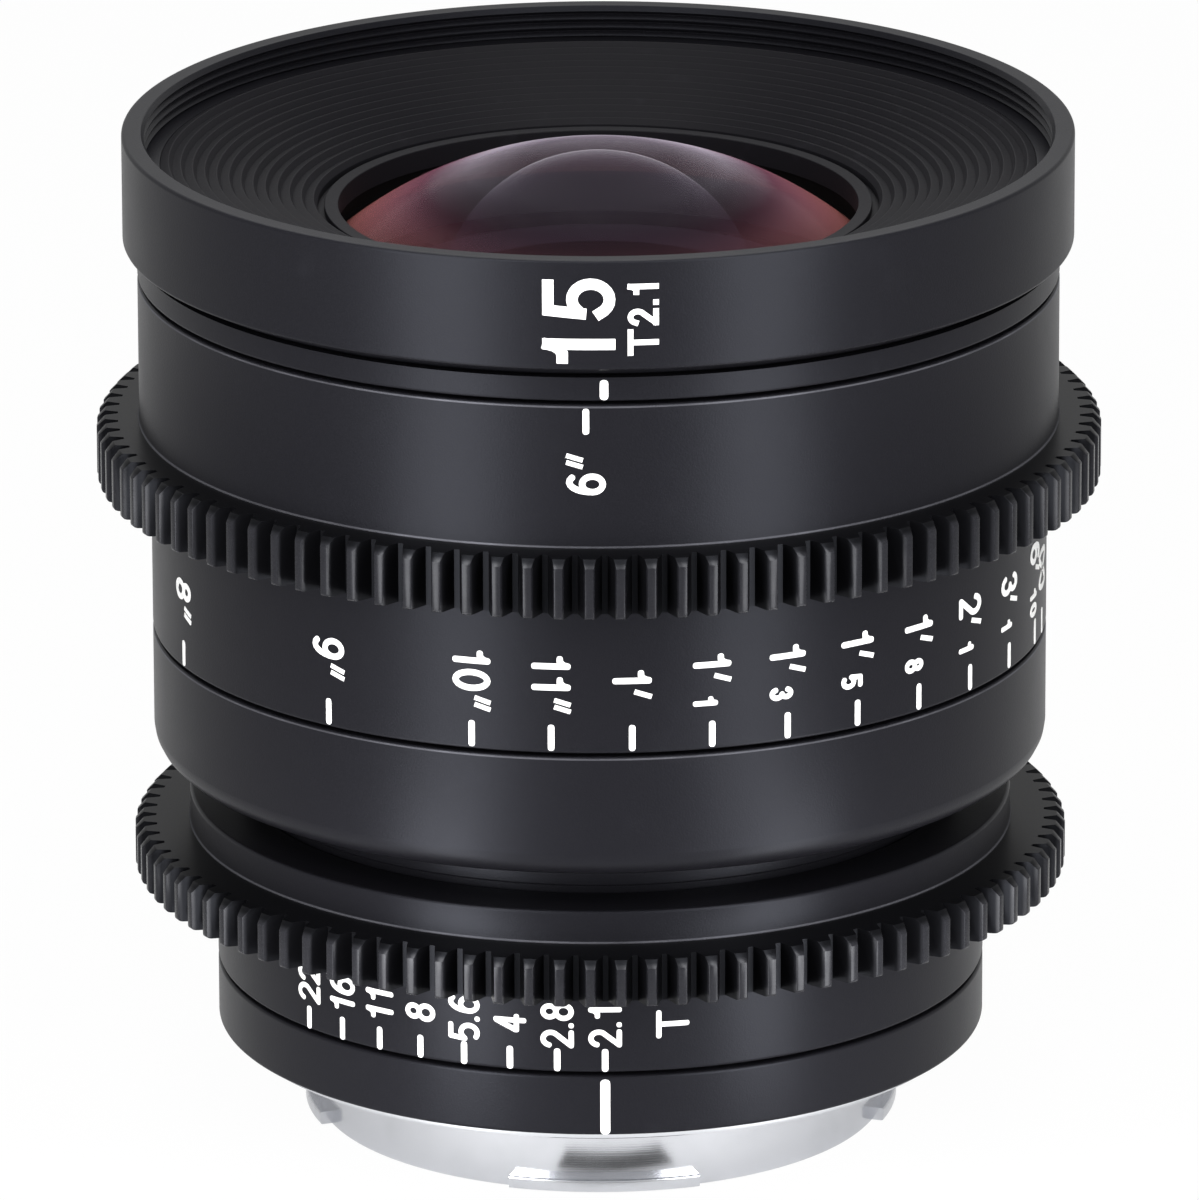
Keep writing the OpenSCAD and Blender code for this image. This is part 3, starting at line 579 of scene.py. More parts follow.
BLUE_SHEEN = (0.82, 0.86, 1, 1)
# Half the height of the bare line on an edge, worn metal with a painted highlight, and of the fade round it
LINE_CORE = 0.03 * MM
LINE_FADE = 0.10 * MM
# Depth of the bare line on a rounded edge, worn metal with a painted highlight, as a share of the rounding
WEAR_GLINT_DEPTH = 0.7


def anodised(name, colours, edges=()):
    """Satin black anodising: fine blasted grain, faint mottle, and a pale metallic line on edges at some
    heights, partly bare-metal wear and partly a painted highlight.
    """
    finish = Finish(name)
    z = finish.axes()[2]
    fine = finish.noise(6500)
    mottle = finish.noise(230, 3)
    rub = finish.ramp(mottle, 0.62, 0.80) * 0.25 + 0.9 * (fine - 0.4)
    shade = finish.blend(rub, tuple(colours.anodised), tuple(colours.anodised_pale))
    bare_edge_glint = 0.0
    # Painted highlight with wear: a pale metallic line at each given edge height
    for edge in edges:
        bare_edge_glint = bare_edge_glint + (1 - finish.ramp(abs(z - edge), LINE_CORE, LINE_FADE)) * (0.05 + 0.35 * mottle)
    if edges:
        shade = finish.blend(bare_edge_glint, shade, tuple(colours.bare_edge_glint))
    return finish.done(base_color=shade, metallic=bare_edge_glint,
                       roughness=0.36 + 0.08 * (fine - 0.5) + 0.05 * (mottle - 0.5),
                       specular_ior_level=0.13, specular_tint=BLUE_SHEEN,
                       normal=finish.bump(fine, 0.013 * MM, 0.8))


def toothed(name, colours, tip):
    """Anodised gear with painted shade, near-black towards the tooth roots, and a painted highlight, paler
    coated tips that glint.
    """
    finish = Finish(name)
    radius = finish.cylinder()[0]
    fine = finish.noise(5200)
    # Painted highlight on the tips, paler, smoother and coated so that they glint; towards the roots the
    # colour falls to the painted shade of the gaps
    painted_tip_glint = finish.ramp(radius, tip - 0.45 * MM, tip - 0.05 * MM) * (0.6 + 0.4 * finish.noise(700))
    shade = finish.blend(painted_tip_glint, tuple(colours.gap), tuple(colours.anodised_pale))
    return finish.done(base_color=shade, roughness=0.32 + 0.08 * (fine - 0.5) - 0.06 * painted_tip_glint,
                       specular_ior_level=0.09, specular_tint=BLUE_SHEEN, coat_weight=painted_tip_glint * 0.35,
                       coat_roughness=0.2, normal=finish.bump(fine, 0.006 * MM, 0.5))


def matte_black(name, shade, roughness, grain_scale=3800):
    """Matte black paint or anodising with a fine grain."""
    finish = Finish(name)
    fine = finish.noise(grain_scale)
    dust = finish.ramp(finish.noise(420, 4), 0.60, 0.78)
    pale = tuple(1.7 * part for part in shade)
    return finish.done(base_color=finish.blend(dust * 0.6, tuple(shade), pale),
                       roughness=roughness + 0.1 * (fine - 0.5), specular_ior_level=0.09,
                       normal=finish.bump(fine, 0.008 * MM, 0.5))


def lathe_metal(name, shade, roughness, pitch, depth):
    """Bright metal with the fine rings that the lathe leaves, and faint smears."""
    finish = Finish(name)
    radius, z = finish.cylinder()
    along = finish.node("ShaderNodeCombineXYZ", None, {0: radius / pitch, 1: z / pitch})
    rings = finish.noise(1.0, vector=along)
    smear = finish.noise(160, 3)
    dull = tuple(0.84 * part for part in shade)
    return finish.done(base_color=finish.blend(finish.ramp(smear, 0.45, 0.75) * 0.5, tuple(shade), dull),
                       metallic=1.0, roughness=roughness + 0.10 * (rings - 0.5) + 0.12 * (smear - 0.5),
                       normal=finish.bump(rings, depth, 0.6))


def filling(colours):
    """White paint in the engraved marks, a little uneven."""
    finish = Finish("marking_paint")
    cloud = finish.noise(900, 3)
    shade = tuple(colours.marking)
    dull = tuple(0.90 * part for part in shade)
    return finish.done(base_color=finish.blend(finish.ramp(cloud, 0.5, 0.75), shade, dull),
                       roughness=0.5 + 0.15 * (cloud - 0.5), normal=finish.bump(cloud, 0.01 * MM, 0.4))


def coated(name, radius, stops, clear, dense):
    """Coated glass with painted reflection: a tint that runs out from the axis, clear face-on and dense at
    a slant.
    """
    finish = Finish(name)
    out = finish.cylinder()[0]
    shade = finish.node("ShaderNodeValToRGB", {"stops": stops}, {0: out / radius})
    smear = finish.noise(300)
    return finish.done(base_color=shade, roughness=0.16 + 0.06 * smear, specular_ior_level=0.1,
                       alpha=clear + (dense - clear) * finish.slant() ** 2.6)


def domed(name, colours, sizes, apex, radius):
    """Coating of the front glass as painted reflection: the dome's tint with a painted highlight at its
    crown, and the thin painted highlight line round the hollow behind it.
    """
    finish = Finish(name)
    out, z = finish.cylinder()
    slant = finish.slant()
    below = (sizes.dome ** 2 - out * out) ** 0.5 + (apex - sizes.dome) - z
    hollow = finish.ramp(below, 0.1 * MM, 0.3 * MM)
    # Painted reflection, partly the coating's tint: colour by distance from the axis, with a pale painted
    # highlight at the crown
    tint = finish.node("ShaderNodeValToRGB", {"stops": [
        (0.0, colours.coat_top), (0.28, colours.coat_top), (0.48, colours.pale_coat_highlight),
        (0.66, colours.coat_middle), (0.97, colours.coat_edge)]}, {0: out / radius})
    # Painted highlight: a thin bright line round the edge of the hollow, seen at a slant
    line = slant ** 7 * (1 - finish.ramp(out, 5 * MM, 12 * MM))
    behind = finish.blend(line, tuple(colours.coat_haze), tuple(colours.painted_line_highlight))
    shade = finish.blend(hollow, tint, behind)
    # Painted reflection: the tint grows denser on the far side and towards the edge
    far = finish.ramp(finish.axes()[1], 2 * MM, 9 * MM)
    painted_sheen_mask = far.math("MAXIMUM", far, finish.ramp(out, 0.5 * radius, 0.8 * radius))
    front = 0.01 + 0.96 * slant ** (6.5 - 3.7 * painted_sheen_mask)
    back = 0.02 + 0.08 * slant ** 2.5 + 0.9 * line
    smear = finish.noise(300)
    return finish.done(base_color=shade, roughness=0.16 + 0.06 * smear, specular_ior_level=0.1,
                       alpha=front + (back - front) * hollow)


# Pieces

# Shares of the pitch at which a thread groove reaches its bottom, leaves it and ends
GROOVE = (0.40, 0.50, 0.90)
# Share of a baffle rib's step at which its crest stands
RIB_LEAN = 0.7
PRESSURE_ANGLE = math.radians(20)
# Depth of a gear tooth below the pitch circle, in modules
DEDENDUM = 1.25
# Least distance of a tooth's broken edges from its root, and their least angle
TOOTH_CLEAR = 0.3 * MM
TOOTH_SHARP = math.radians(25)
# Angles in radians that differ by less count as the same
SAME_ANGLE = 1e-4


class LENS_OT_front_ring(bpy.types.Operator):
    """Turn the front ring with its filter thread"""

    bl_idname = "lens.front_ring"
    bl_label = "Front ring"

    def execute(self, context):
        sizes = context.scene.lens_sizes
        bottom = low("front_ring")
        rim = high("front_ring")
        outer = reach("front_ring")
        bore = outer - sizes.wall
        ledge = reach("front_baffle") + sizes.fit
        seat = rim - sizes.filter_depth
        floor = low("front_baffle")
        deep = bore + sizes.thread_depth
        pitch = sizes.thread_pitch
        thread = []
        turns = int((sizes.filter_depth - sizes.land) / pitch)
        for i in range(turns):
            top = rim - sizes.land - i * pitch
            reached, left, ended = (top - share * pitch for share in GROOVE)
            thread += [(bore, top), (deep, reached), (deep, left), (bore, ended)]
        outline = [
            (sizes.floor_bore, bottom), (reach("index_ring") - sizes.undercut, bottom),
            (outer, bottom + sizes.bevel_h, sizes.bevel_round), (outer, rim, sizes.edge),
            (bore + sizes.edge, rim, sizes.rim_round), *thread, (deep, ended), (deep, seat), (ledge, seat),
            (ledge, floor), (sizes.floor_bore, floor),
        ]
        ring = turned("front_ring_machined", rounded(outline))
        dress(ring, anodised("front_anodised", context.scene.lens_colours), "front_ring")
        return {"FINISHED"}


class LENS_OT_front_baffle(bpy.types.Operator):
    """Turn the ribbed baffle round the front glass"""

    bl_idname = "lens.front_baffle"
    bl_label = "Front baffle"

    def execute(self, context):
        sizes = context.scene.lens_sizes
        outer = reach("front_baffle")
        floor = low("front_baffle")
        top = high("front_ring") - sizes.filter_depth
        lip = sizes.lip_in + sizes.lip_w
        lip_z = floor + sizes.lip_h
        step = (outer - lip) / sizes.ribs
        drop = (top - lip_z) / sizes.ribs
        ribs = []
        for i in range(sizes.ribs):
            crest = i + RIB_LEAN
            ribs.append((outer - i * step, top - i * drop))
            ribs.append((outer - crest * step, top - crest * drop + sizes.rib_h, sizes.rib_round))
        groove = sizes.lip_w / 3
        outline = [
            (sizes.lip_in, floor), (outer, floor), *ribs, (lip, lip_z, sizes.groove_round),
            (lip, lip_z - groove), (lip - groove, lip_z - groove),
            (lip - groove, lip_z, sizes.groove_round), (sizes.lip_in, lip_z, sizes.lip_round),
        ]
        baffle = turned("front_baffle_ribbed", rounded(outline))
        shade = context.scene.lens_colours.baffle
        dress(baffle, matte_black("baffle_paint", shade, 0.52), "front_baffle")
        return {"FINISHED"}


def sag(ball, radius):
    """Depth of a sphere's cap."""
    return ball - math.sqrt(ball ** 2 - radius ** 2)


def cap(apex, ball, radius, upward):
    """Points of a lens surface from the axis out to a radius. upward is 1 for a hill and -1 for a bowl."""
    points = []
    for i in range(CAP_STEPS + 1):
        r = radius * i / CAP_STEPS
        points.append((r, apex - upward * sag(ball, r)))
    return points


class LENS_OT_glass(bpy.types.Operator):
    """Turn the six glasses and the ring that holds the first"""

    bl_idname = "lens.glass"
    bl_label = "Glass"

    def execute(self, context):
        colours = context.scene.lens_colours
        sizes = context.scene.lens_sizes
        front = domed("front_coating", colours, sizes, high("front_element"), reach("front_element"))
        # Painted reflections of the coatings on the inner glasses, amber towards their edges
        amber = coated("amber_coating", reach("second_element"),
                       [(0.0, colours.coat_centre), (0.4, colours.coat_centre), (0.75, colours.amber),
                        (1.0, colours.coat_edge)], 0.03, 0.5)
        rear = coated("rear_coating", reach("rear_element_back"),
                      [(0.0, colours.pale_coat_highlight), (0.6, colours.coat_middle), (1.0, colours.amber)],
                      0.2, 0.9)
        self.meniscus("front_element", sizes.dome, sizes.hollow, sizes.glass_t, front)
        self.retainer(sizes, colours)
        self.meniscus("second_element", sizes.second_dome, sizes.second_hollow, sizes.second_t, amber)
        radius = reach("focus_element_front")
        self.polished("focus_element_front", cap(high("focus_element_front"), sizes.focus_face, radius, 1)
                      + cap(low("focus_element_front"), sizes.cement, radius, -1)[::-1], amber)
        joint = high("focus_element_rear") - sag(sizes.cement, radius)
        base = low("focus_element_rear")
        self.polished("focus_element_rear", cap(joint, sizes.cement, radius, -1)
                      + [(radius, base), (0, base)], amber)
        radius = reach("rear_element_front")
        flat = high("rear_element_front")
        self.polished("rear_element_front", [(0, flat), (radius, flat)]
                      + cap(low("rear_element_front"), sizes.rear_face, radius, -1)[::-1], rear)
        self.polished("rear_element_back", cap(high("rear_element_back"), sizes.back_front, radius, 1)
                      + cap(low("rear_element_back"), sizes.back_rear, radius, -1)[::-1], rear)
        return {"FINISHED"}

    def meniscus(self, node, dome, hollow, centre, material):
        """A domed glass with a hollow back and a flat seat round the hollow."""
        apex = high(node)
        seat = low(node)
        radius = reach(node)
        mouth = math.sqrt(hollow ** 2 - (hollow - (apex - centre - seat)) ** 2)
        outline = cap(apex, dome, radius, 1) + [(radius, seat)] + cap(apex - centre, hollow, mouth, 1)[::-1]
        self.polished(node, outline, material)

    def retainer(self, sizes, colours):
        """The ring that holds the front glass."""
        node = "front_retaining_ring"
        outer = reach(node)
        z0 = low(node)
        z1 = high(node)
        ring = turned(node + "_machined", rounded([
            (sizes.retainer_bore, z0), (outer, z0), (outer, z1), (sizes.retainer_bore, z1, sizes.edge)]))
        dress(ring, matte_black("retainer_anodised", colours.inside, 0.6), node)

    def polished(self, node, outline, material):
        """A glass turned from its outline."""
        piece = turned(node + "_polished", outline, closed=False)
        dress(piece, material, node)


class LENS_OT_focus_rings(bpy.types.Operator):
    """Turn the index ring, the focus sleeve and the distance scale ring"""

    bl_idname = "lens.focus_rings"
    bl_label = "Focus rings"

    def execute(self, context):
        sizes = context.scene.lens_sizes
        colours = context.scene.lens_colours
        outer = reach("index_ring")
        bore = reach("main_barrel") + sizes.fit
        z0 = low("index_ring")
        z1 = high("index_ring")
        index = turned("index_ring_machined", rounded(
            [(bore, z0), (outer, z0, sizes.edge), (outer, z1), (bore, z1)]))
        dress(index, anodised("index_anodised", colours), "index_ring")

        bore = reach("main_barrel") + sizes.gap
        core = max(reach("focus_drive_key") + sizes.fit, reach("distance_scale_ring") - sizes.scale_wall)
        z0 = low("focus_sleeve")
        z1 = high("focus_sleeve")
        step = high("focus_gear")
        sleeve = turned("focus_sleeve_machined", rounded([
            (bore, z0), (core, z0), (core, step), (outer + sizes.flare_w, step),
            (outer, step + sizes.flare_h), (outer, z1, sizes.edge), (bore, z1)]))
        combine(sleeve, self.key_slot(sizes), "DIFFERENCE")
        # The sleeve's top edge and flare carry a painted highlight line that also stands for wear
        edges = [z1 - WEAR_GLINT_DEPTH * sizes.edge, step + sizes.flare_h / 2]
        dress(sleeve, anodised("sleeve_anodised", colours, edges), "focus_sleeve")

        outer = reach("distance_scale_ring")
        z1 = high("distance_scale_ring")
        scale = turned("distance_scale_ring_machined", rounded(
            [(core + sizes.fit, z0), (outer, z0, sizes.edge), (outer, z1), (core + sizes.fit, z1)]))
        dress(scale, anodised("scale_anodised", colours), "distance_scale_ring")
        return {"FINISHED"}

    def key_slot(self, sizes):
        """The window in the sleeve that holds the drive key."""
        near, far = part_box("focus_drive_key")
        middle = (near + far) / 2
        bpy.ops.object.select_all(action="DESELECT")
        bpy.ops.mesh.primitive_cube_add(size=1)
        slot = bpy.context.object
        span = far - near + Vector((sizes.key_slot, 2 * sizes.fit, 2 * sizes.fit))
        slot.data.transform(Matrix.Translation(middle) @ Matrix.Diagonal((*span, 1)))
        return slot


class LENS_OT_drive_gears(bpy.types.Operator):
    """Model one tooth of each drive gear and turn it round the axis"""

    bl_idname = "lens.drive_gears"
    bl_label = "Drive gears"

    def execute(self, context):
        sizes = context.scene.lens_sizes
        colours = context.scene.lens_colours
        bore = reach("distance_scale_ring") - sizes.scale_wall + sizes.fit
        self.gear(sizes, colours, "focus_gear", sizes.focus_teeth, bore)
        bore = reach("mount_collar") + sizes.fit
        self.gear(sizes, colours, "iris_gear", sizes.iris_teeth, bore)
        return {"FINISHED"}

    def gear(self, sizes, colours, node, teeth, bore):
        """One tooth with bevelled ends, repeated round the axis."""
        pitch_r = sizes.module * teeth / 2
        tip = pitch_r + sizes.module
        root = pitch_r - DEDENDUM * sizes.module
        flank = math.tan(PRESSURE_ANGLE)
        half = math.pi * sizes.module / 4
        tip_a = (half - sizes.module * flank) / tip
        root_a = (half + DEDENDUM * sizes.module * flank) / root
        side = math.pi / teeth
        middle = side - math.pi / 2
        z0 = low(node)
        z1 = high(node)

        def spot(radius, angle):
            return Vector((radius * math.cos(middle + angle), radius * math.sin(middle + angle), z0))

        outline = [spot(bore, -side), spot(root, -side), spot(root, -root_a), spot(tip, -tip_a),
                   spot(tip, tip_a), spot(root, root_a), spot(root, side), spot(bore, side)]
        piece = begin(node + "_cut", outline[0])
        draw(outline)
        bpy.ops.mesh.select_all(action="SELECT")
        bpy.ops.mesh.edge_face_add()
        bpy.ops.mesh.extrude_region_move(TRANSFORM_OT_translate={"value": (0, 0, z1 - z0)})
        self.bevel_ends(piece, z1, (root + tip) / 2, sizes.tooth_bevel, 1)
        self.bevel_ends(piece, z0, (root + tip) / 2, sizes.tooth_round, 3)
        pick_edges(piece, lambda edge: min(v.co.xy.length for v in edge.verts) > root + TOOTH_CLEAR
                   and edge.calc_face_angle(0) > TOOTH_SHARP)
        bpy.ops.mesh.bevel(offset=sizes.tooth_edge, segments=2, affect="EDGES")
        self.open_sides(piece, middle, side)
        bpy.ops.mesh.select_all(action="SELECT")
        bpy.ops.mesh.spin(steps=teeth - 1, dupli=True, angle=math.tau * (teeth - 1) / teeth,
                          center=(0, 0, 0), axis=(0, 0, 1))
        seal(piece)
        dress(piece, toothed(node + "_anodised", colours, tip), node)

    def bevel_ends(self, piece, z, radius, offset, segments):
        """Bevels the end of the tooth's tip at a height."""
        pick_edges(piece, lambda edge: all(abs(v.co.z - z) < MERGE and v.co.xy.length > radius
                                           for v in edge.verts))
        bpy.ops.mesh.bevel(offset=offset, segments=segments, affect="EDGES")

    def open_sides(self, piece, middle, side):
        """Removes the two faces along which one tooth meets the next."""
        bpy.ops.mesh.select_mode(type="FACE")
        bpy.ops.mesh.select_all(action="DESELECT")
        mesh = bmesh.from_edit_mesh(piece.data)
        for face in mesh.faces:
            turns = [math.atan2(v.co.y, v.co.x) - middle for v in face.verts]
            edgewise = all(abs(abs(turn) - side) < SAME_ANGLE for turn in turns)
            face.select_set(edgewise and abs(sum(turns)) > side)
        bmesh.update_edit_mesh(piece.data)
        bpy.ops.mesh.delete(type="ONLY_FACE")


def drive_pin():
    """Height and radius of the iris drive pin."""
    near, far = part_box("iris_drive_pin")
    return (near.z + far.z) / 2, (far.z - near.z) / 2


def screw_places(sizes):
    """Where the mount screws stand on their circle."""
    for i in range(sizes.screws):
        turn = Matrix.Rotation(sizes.screw_start + math.tau * i / sizes.screws, 4, "Z")
        yield turn @ Matrix.Translation((sizes.screw_ring, 0, 0))


class LENS_OT_rear_rings(bpy.types.Operator):
    """Turn the rear barrel, the iris ring and the mount collar"""

    bl_idname = "lens.rear_rings"
    bl_label = "Rear rings"

    def execute(self, context):
        sizes = context.scene.lens_sizes
        colours = context.scene.lens_colours
        self.rear_barrel(sizes, colours)
        self.iris_ring(sizes, colours)
        outer = reach("mount_collar")
        z0 = low("mount_collar")
        z1 = high("mount_collar")
        inner = sizes.tube_r + sizes.fit
        plate = sizes.plate_r + sizes.fit
        collar = turned("mount_collar_machined", rounded([
            (plate, z0), (outer, z0, sizes.edge), (outer, z1, sizes.edge), (inner, z1),
            (inner, sizes.plate_t), (plate, sizes.plate_t)]))
        dress(collar, anodised("collar_anodised", colours), "mount_collar")
        return {"FINISHED"}

    def rear_barrel(self, sizes, colours):
        """The fixed barrel with its neck, the slot for the iris pin and the screw holes."""
        outer = reach("rear_barrel")
        z0 = low("rear_barrel")
        z1 = high("rear_barrel")
        neck = high("iris_ring") + sizes.gap
        web = low("main_barrel")
        sleeve = reach("main_barrel") + sizes.fit
        seat = high("rear_element_front")
        outline = [
            (sizes.seat_r, z0), (sizes.tube_r, z0), (sizes.tube_r, neck),
            (sizes.neck_r, neck, sizes.neck_round), (sizes.neck_r, sizes.rear_z),
            (outer, sizes.rear_z, sizes.rear_round), (outer, z1, sizes.edge), (sleeve, z1), (sleeve, web),
            (sizes.tube_bore, web), (sizes.tube_bore, seat), (sizes.seat_r, seat),
        ]
        barrel = turned("rear_barrel_machined", rounded(outline))
        pin_z, pin_r = drive_pin()
        half = pin_r + sizes.gap
        start = sizes.pin_turn - half / sizes.tube_bore
        sweep = sizes.iris_throw + 2 * half / sizes.tube_bore
        inner = sizes.tube_bore - OVERCUT
        past = sizes.tube_r + OVERCUT
        slot = turned("slot", [(inner, pin_z - half), (past, pin_z - half), (past, pin_z + half),
                               (inner, pin_z + half)],
                      steps=PART_TURN_STEPS, sweep=sweep, start=start)
        combine(barrel, slot, "DIFFERENCE")
        for place in screw_places(sizes):
            hole = disc("hole", sizes.screw_r + sizes.fit, z0 - OVERCUT, z0 + sizes.screw_depth, place)
            combine(barrel, hole, "DIFFERENCE")
        # The barrel's top edge carries a painted highlight line that also stands for wear
        dress(barrel, anodised("rear_anodised", colours, [z1 - WEAR_GLINT_DEPTH * sizes.edge]), "rear_barrel")

    def iris_ring(self, sizes, colours):
        """The ring with the stops, its hub and the hole for the drive pin."""
        outer = reach("mount_collar")
        hub = reach("iris_ring")
        bore = sizes.tube_r + sizes.gap
        z0 = low("iris_ring")
        z1 = high("iris_ring") - sizes.hub_drop
        step = high("iris_gear")
        ring = turned("iris_ring_machined", rounded([
            (bore, z0), (outer, z0, sizes.edge), (outer, step), (hub + sizes.flare_w, step),
            (hub, step + sizes.flare_h), (hub, z1, sizes.edge), (bore, z1)]))
        pin_z, pin_r = drive_pin()
        side = (Matrix.Translation((0, 0, pin_z)) @ Matrix.Rotation(sizes.pin_turn, 4, "Z")
                @ Matrix.Rotation(math.pi / 2, 4, "Y"))
        hole = disc("hole", pin_r + sizes.fit, bore - OVERCUT, outer + OVERCUT, side)
        combine(ring, hole, "DIFFERENCE")
        # The iris ring's flare carries a painted highlight line that also stands for wear
        dress(ring, anodised("iris_anodised", colours, [step + sizes.flare_h / 2]), "iris_ring")


class LENS_OT_bayonet_mount(bpy.types.Operator):
    """Turn the bayonet, add its lugs and sink its screw holes"""

    bl_idname = "lens.bayonet_mount"
    bl_label = "Bayonet mount"

    def execute(self, context):
        sizes = context.scene.lens_sizes
        end = low("bayonet_mount") - sizes.spigot_more
        flange = sizes.rim_r
        spigot = sizes.spigot_r
        throat = spigot - sizes.spigot_wall
        edge = MOUNT_EDGE
        mount = turned("bayonet_mount_machined", rounded([
            (throat, end, edge), (spigot, end, edge), (spigot, 0), (flange, 0, edge),
            (flange, sizes.rim_h, edge), (sizes.plate_r, sizes.rim_h), (sizes.plate_r, sizes.plate_t),
            (throat, sizes.plate_t)]))
        self.add_lugs(sizes, mount, end)
        self.sink_holes(sizes, mount)
        shade = context.scene.lens_colours.plating
        dress(mount, lathe_metal("bright_plating", shade, 0.17, 0.12 * MM, 0.004 * MM), "bayonet_mount")
        return {"FINISHED"}

    def add_lugs(self, sizes, mount, end):
        """The lugs round the spigot's end, the first of them at the front."""
        root = sizes.spigot_r - sizes.spigot_wall / 2
        tip = sizes.spigot_r + sizes.lug_reach
        bottom = end + MOUNT_EDGE
        top = end + sizes.lug_t
        for i in range(sizes.lugs):
            start = -math.pi / 2 + math.tau * i / sizes.lugs - sizes.lug_sweep / 2
            lug = turned("lug", rounded([(root, bottom), (tip, bottom, MOUNT_EDGE), (tip, top, MOUNT_EDGE),
                                         (root, top)]),
                         steps=PART_TURN_STEPS, sweep=sizes.lug_sweep, start=start)
            combine(mount, lug, "UNION")

    def sink_holes(self, sizes, mount):
        """The countersunk screw holes and the hole for the camera's lock pin."""
        head = 2 * sizes.screw_r + sizes.fit
        shank = sizes.screw_r + sizes.fit
        through = sizes.screw_through
        for place in screw_places(sizes):
            sink = turned("sink", [(0, -OVERCUT), (head, -OVERCUT), (head, 0), (shank, sizes.screw_r),
                                   (shank, through), (0, through)],
                          closed=False, steps=HOLE_STEPS)
            sink.data.transform(place)
            combine(mount, sink, "DIFFERENCE")
        place = Matrix.Rotation(sizes.lock_turn, 4, "Z") @ Matrix.Translation((sizes.screw_ring, 0, 0))
        combine(mount, disc("lock_hole", sizes.lock_r, -OVERCUT, sizes.lock_depth, place), "DIFFERENCE")


# Marks


# Angle between the points of a figure's round strokes, in degrees
BOW_STEP = 15


def arc(cx, cy, rx, ry, first, last):
    """Points of an elliptical arc between two angles in degrees."""
    steps = max(3, round(abs(last - first) / BOW_STEP))
    angles = [math.radians(first + (last - first) * i / steps) for i in range(steps + 1)]
    return [(cx + rx * math.cos(a), cy + ry * math.sin(a)) for a in angles]


def half_turn(strokes):
    """The same strokes turned upside down."""
    return [[(1 - x, 1 - y) for x, y in stroke] for stroke in strokes]


def five(first, last):
    """The strokes of a 5 whose bowl runs between two angles in degrees."""
    return [[(0.16, 1), (0.95, 1)], [(0.14, 0.98), (0.05, 0.47)], arc(0.5, 0.305, 0.5, 0.305, first, last)]


LOOP_STEPS = 32
LOOP_TURNS = [math.tau * i / LOOP_STEPS for i in range(LOOP_STEPS + 1)]
LOOP = [(0.5 + 0.5 * math.sin(turn), 0.5 + 0.5 * math.sin(2 * turn)) for turn in LOOP_TURNS]
SIX = [arc(0.5, 0.31, 0.5, 0.31, 0, 360), arc(0.62, 0.34, 0.62, 0.66, 183, 62)]

# Width of each figure as a share of its height, and its pen strokes in a unit box.
# The sign ~ stands for infinity, and the wide 5 is for the large figures at the front.
FIGURES = {
    "0": (0.58, [arc(0.5, 0.5, 0.5, 0.5, 0, 360)]),
    "1": (0.50, [[(0.73, 0), (0.73, 1)],
                 [(0.155, 0.77), (0.34, 0.77), (0.52, 0.82), (0.65, 0.90), (0.71, 1)]]),
    "2": (0.56, [arc(0.5, 0.72, 0.5, 0.28, 165, -32) + [(0.05, 0.04)], [(0, 0), (1, 0)]]),
    "3": (0.54, [arc(0.48, 0.765, 0.46, 0.235, 160, -80), arc(0.5, 0.27, 0.5, 0.27, 80, -162)]),
    "4": (0.57, [[(0.72, 0), (0.72, 1)], [(0.66, 0.98), (0, 0.30)], [(0, 0.26), (1, 0.26)]]),
    "5": (0.60, five(140, -122)),
    "5 wide": (0.60, five(138, -150)),
    "6": (0.57, SIX),
    "8": (0.57, [arc(0.5, 0.77, 0.42, 0.23, 0, 360), arc(0.5, 0.27, 0.5, 0.27, 0, 360)]),
    "9": (0.57, half_turn(SIX)),
    "T": (0.88, [[(0, 1), (1, 1)], [(0.5, 0.98), (0.5, 0)]]),
    ".": (0.18, [[(0.5, 0), (0.5, 0.002)]]),
    "'": (0.26, [[(0.1, 0.64), (0.9, 1)]]),
    '"': (0.46, [[(0.18, 0.66), (0.44, 1)], [(0.71, 0.66), (0.97, 1)]]),
    "~": (1.15, [LOOP]),
}
# Inches after the feet sign are smaller figures with a thinner pen
SMALL = 0.65
SMALL_PEN = 0.85
# Share of the pen's width for the signs of feet and inches, whose ends stay square
THIN = {"'": 0.82, '"': 0.76}
# Room after the feet sign, as a share of its height
AFTER_FEET = 0.26
# Height of the strips in which a figure bends round a ring
STRIP = 0.45 * MM
# Step between crossing strokes, so that their tops don't lie in one plane
LAYER = 0.002 * MM
# Rounding of a stroke's ends and the reach of its search, as shares of the pen, and their least angle
END_ROUND = 0.42
END_NEAR = 0.6
END_SHARP = math.radians(60)


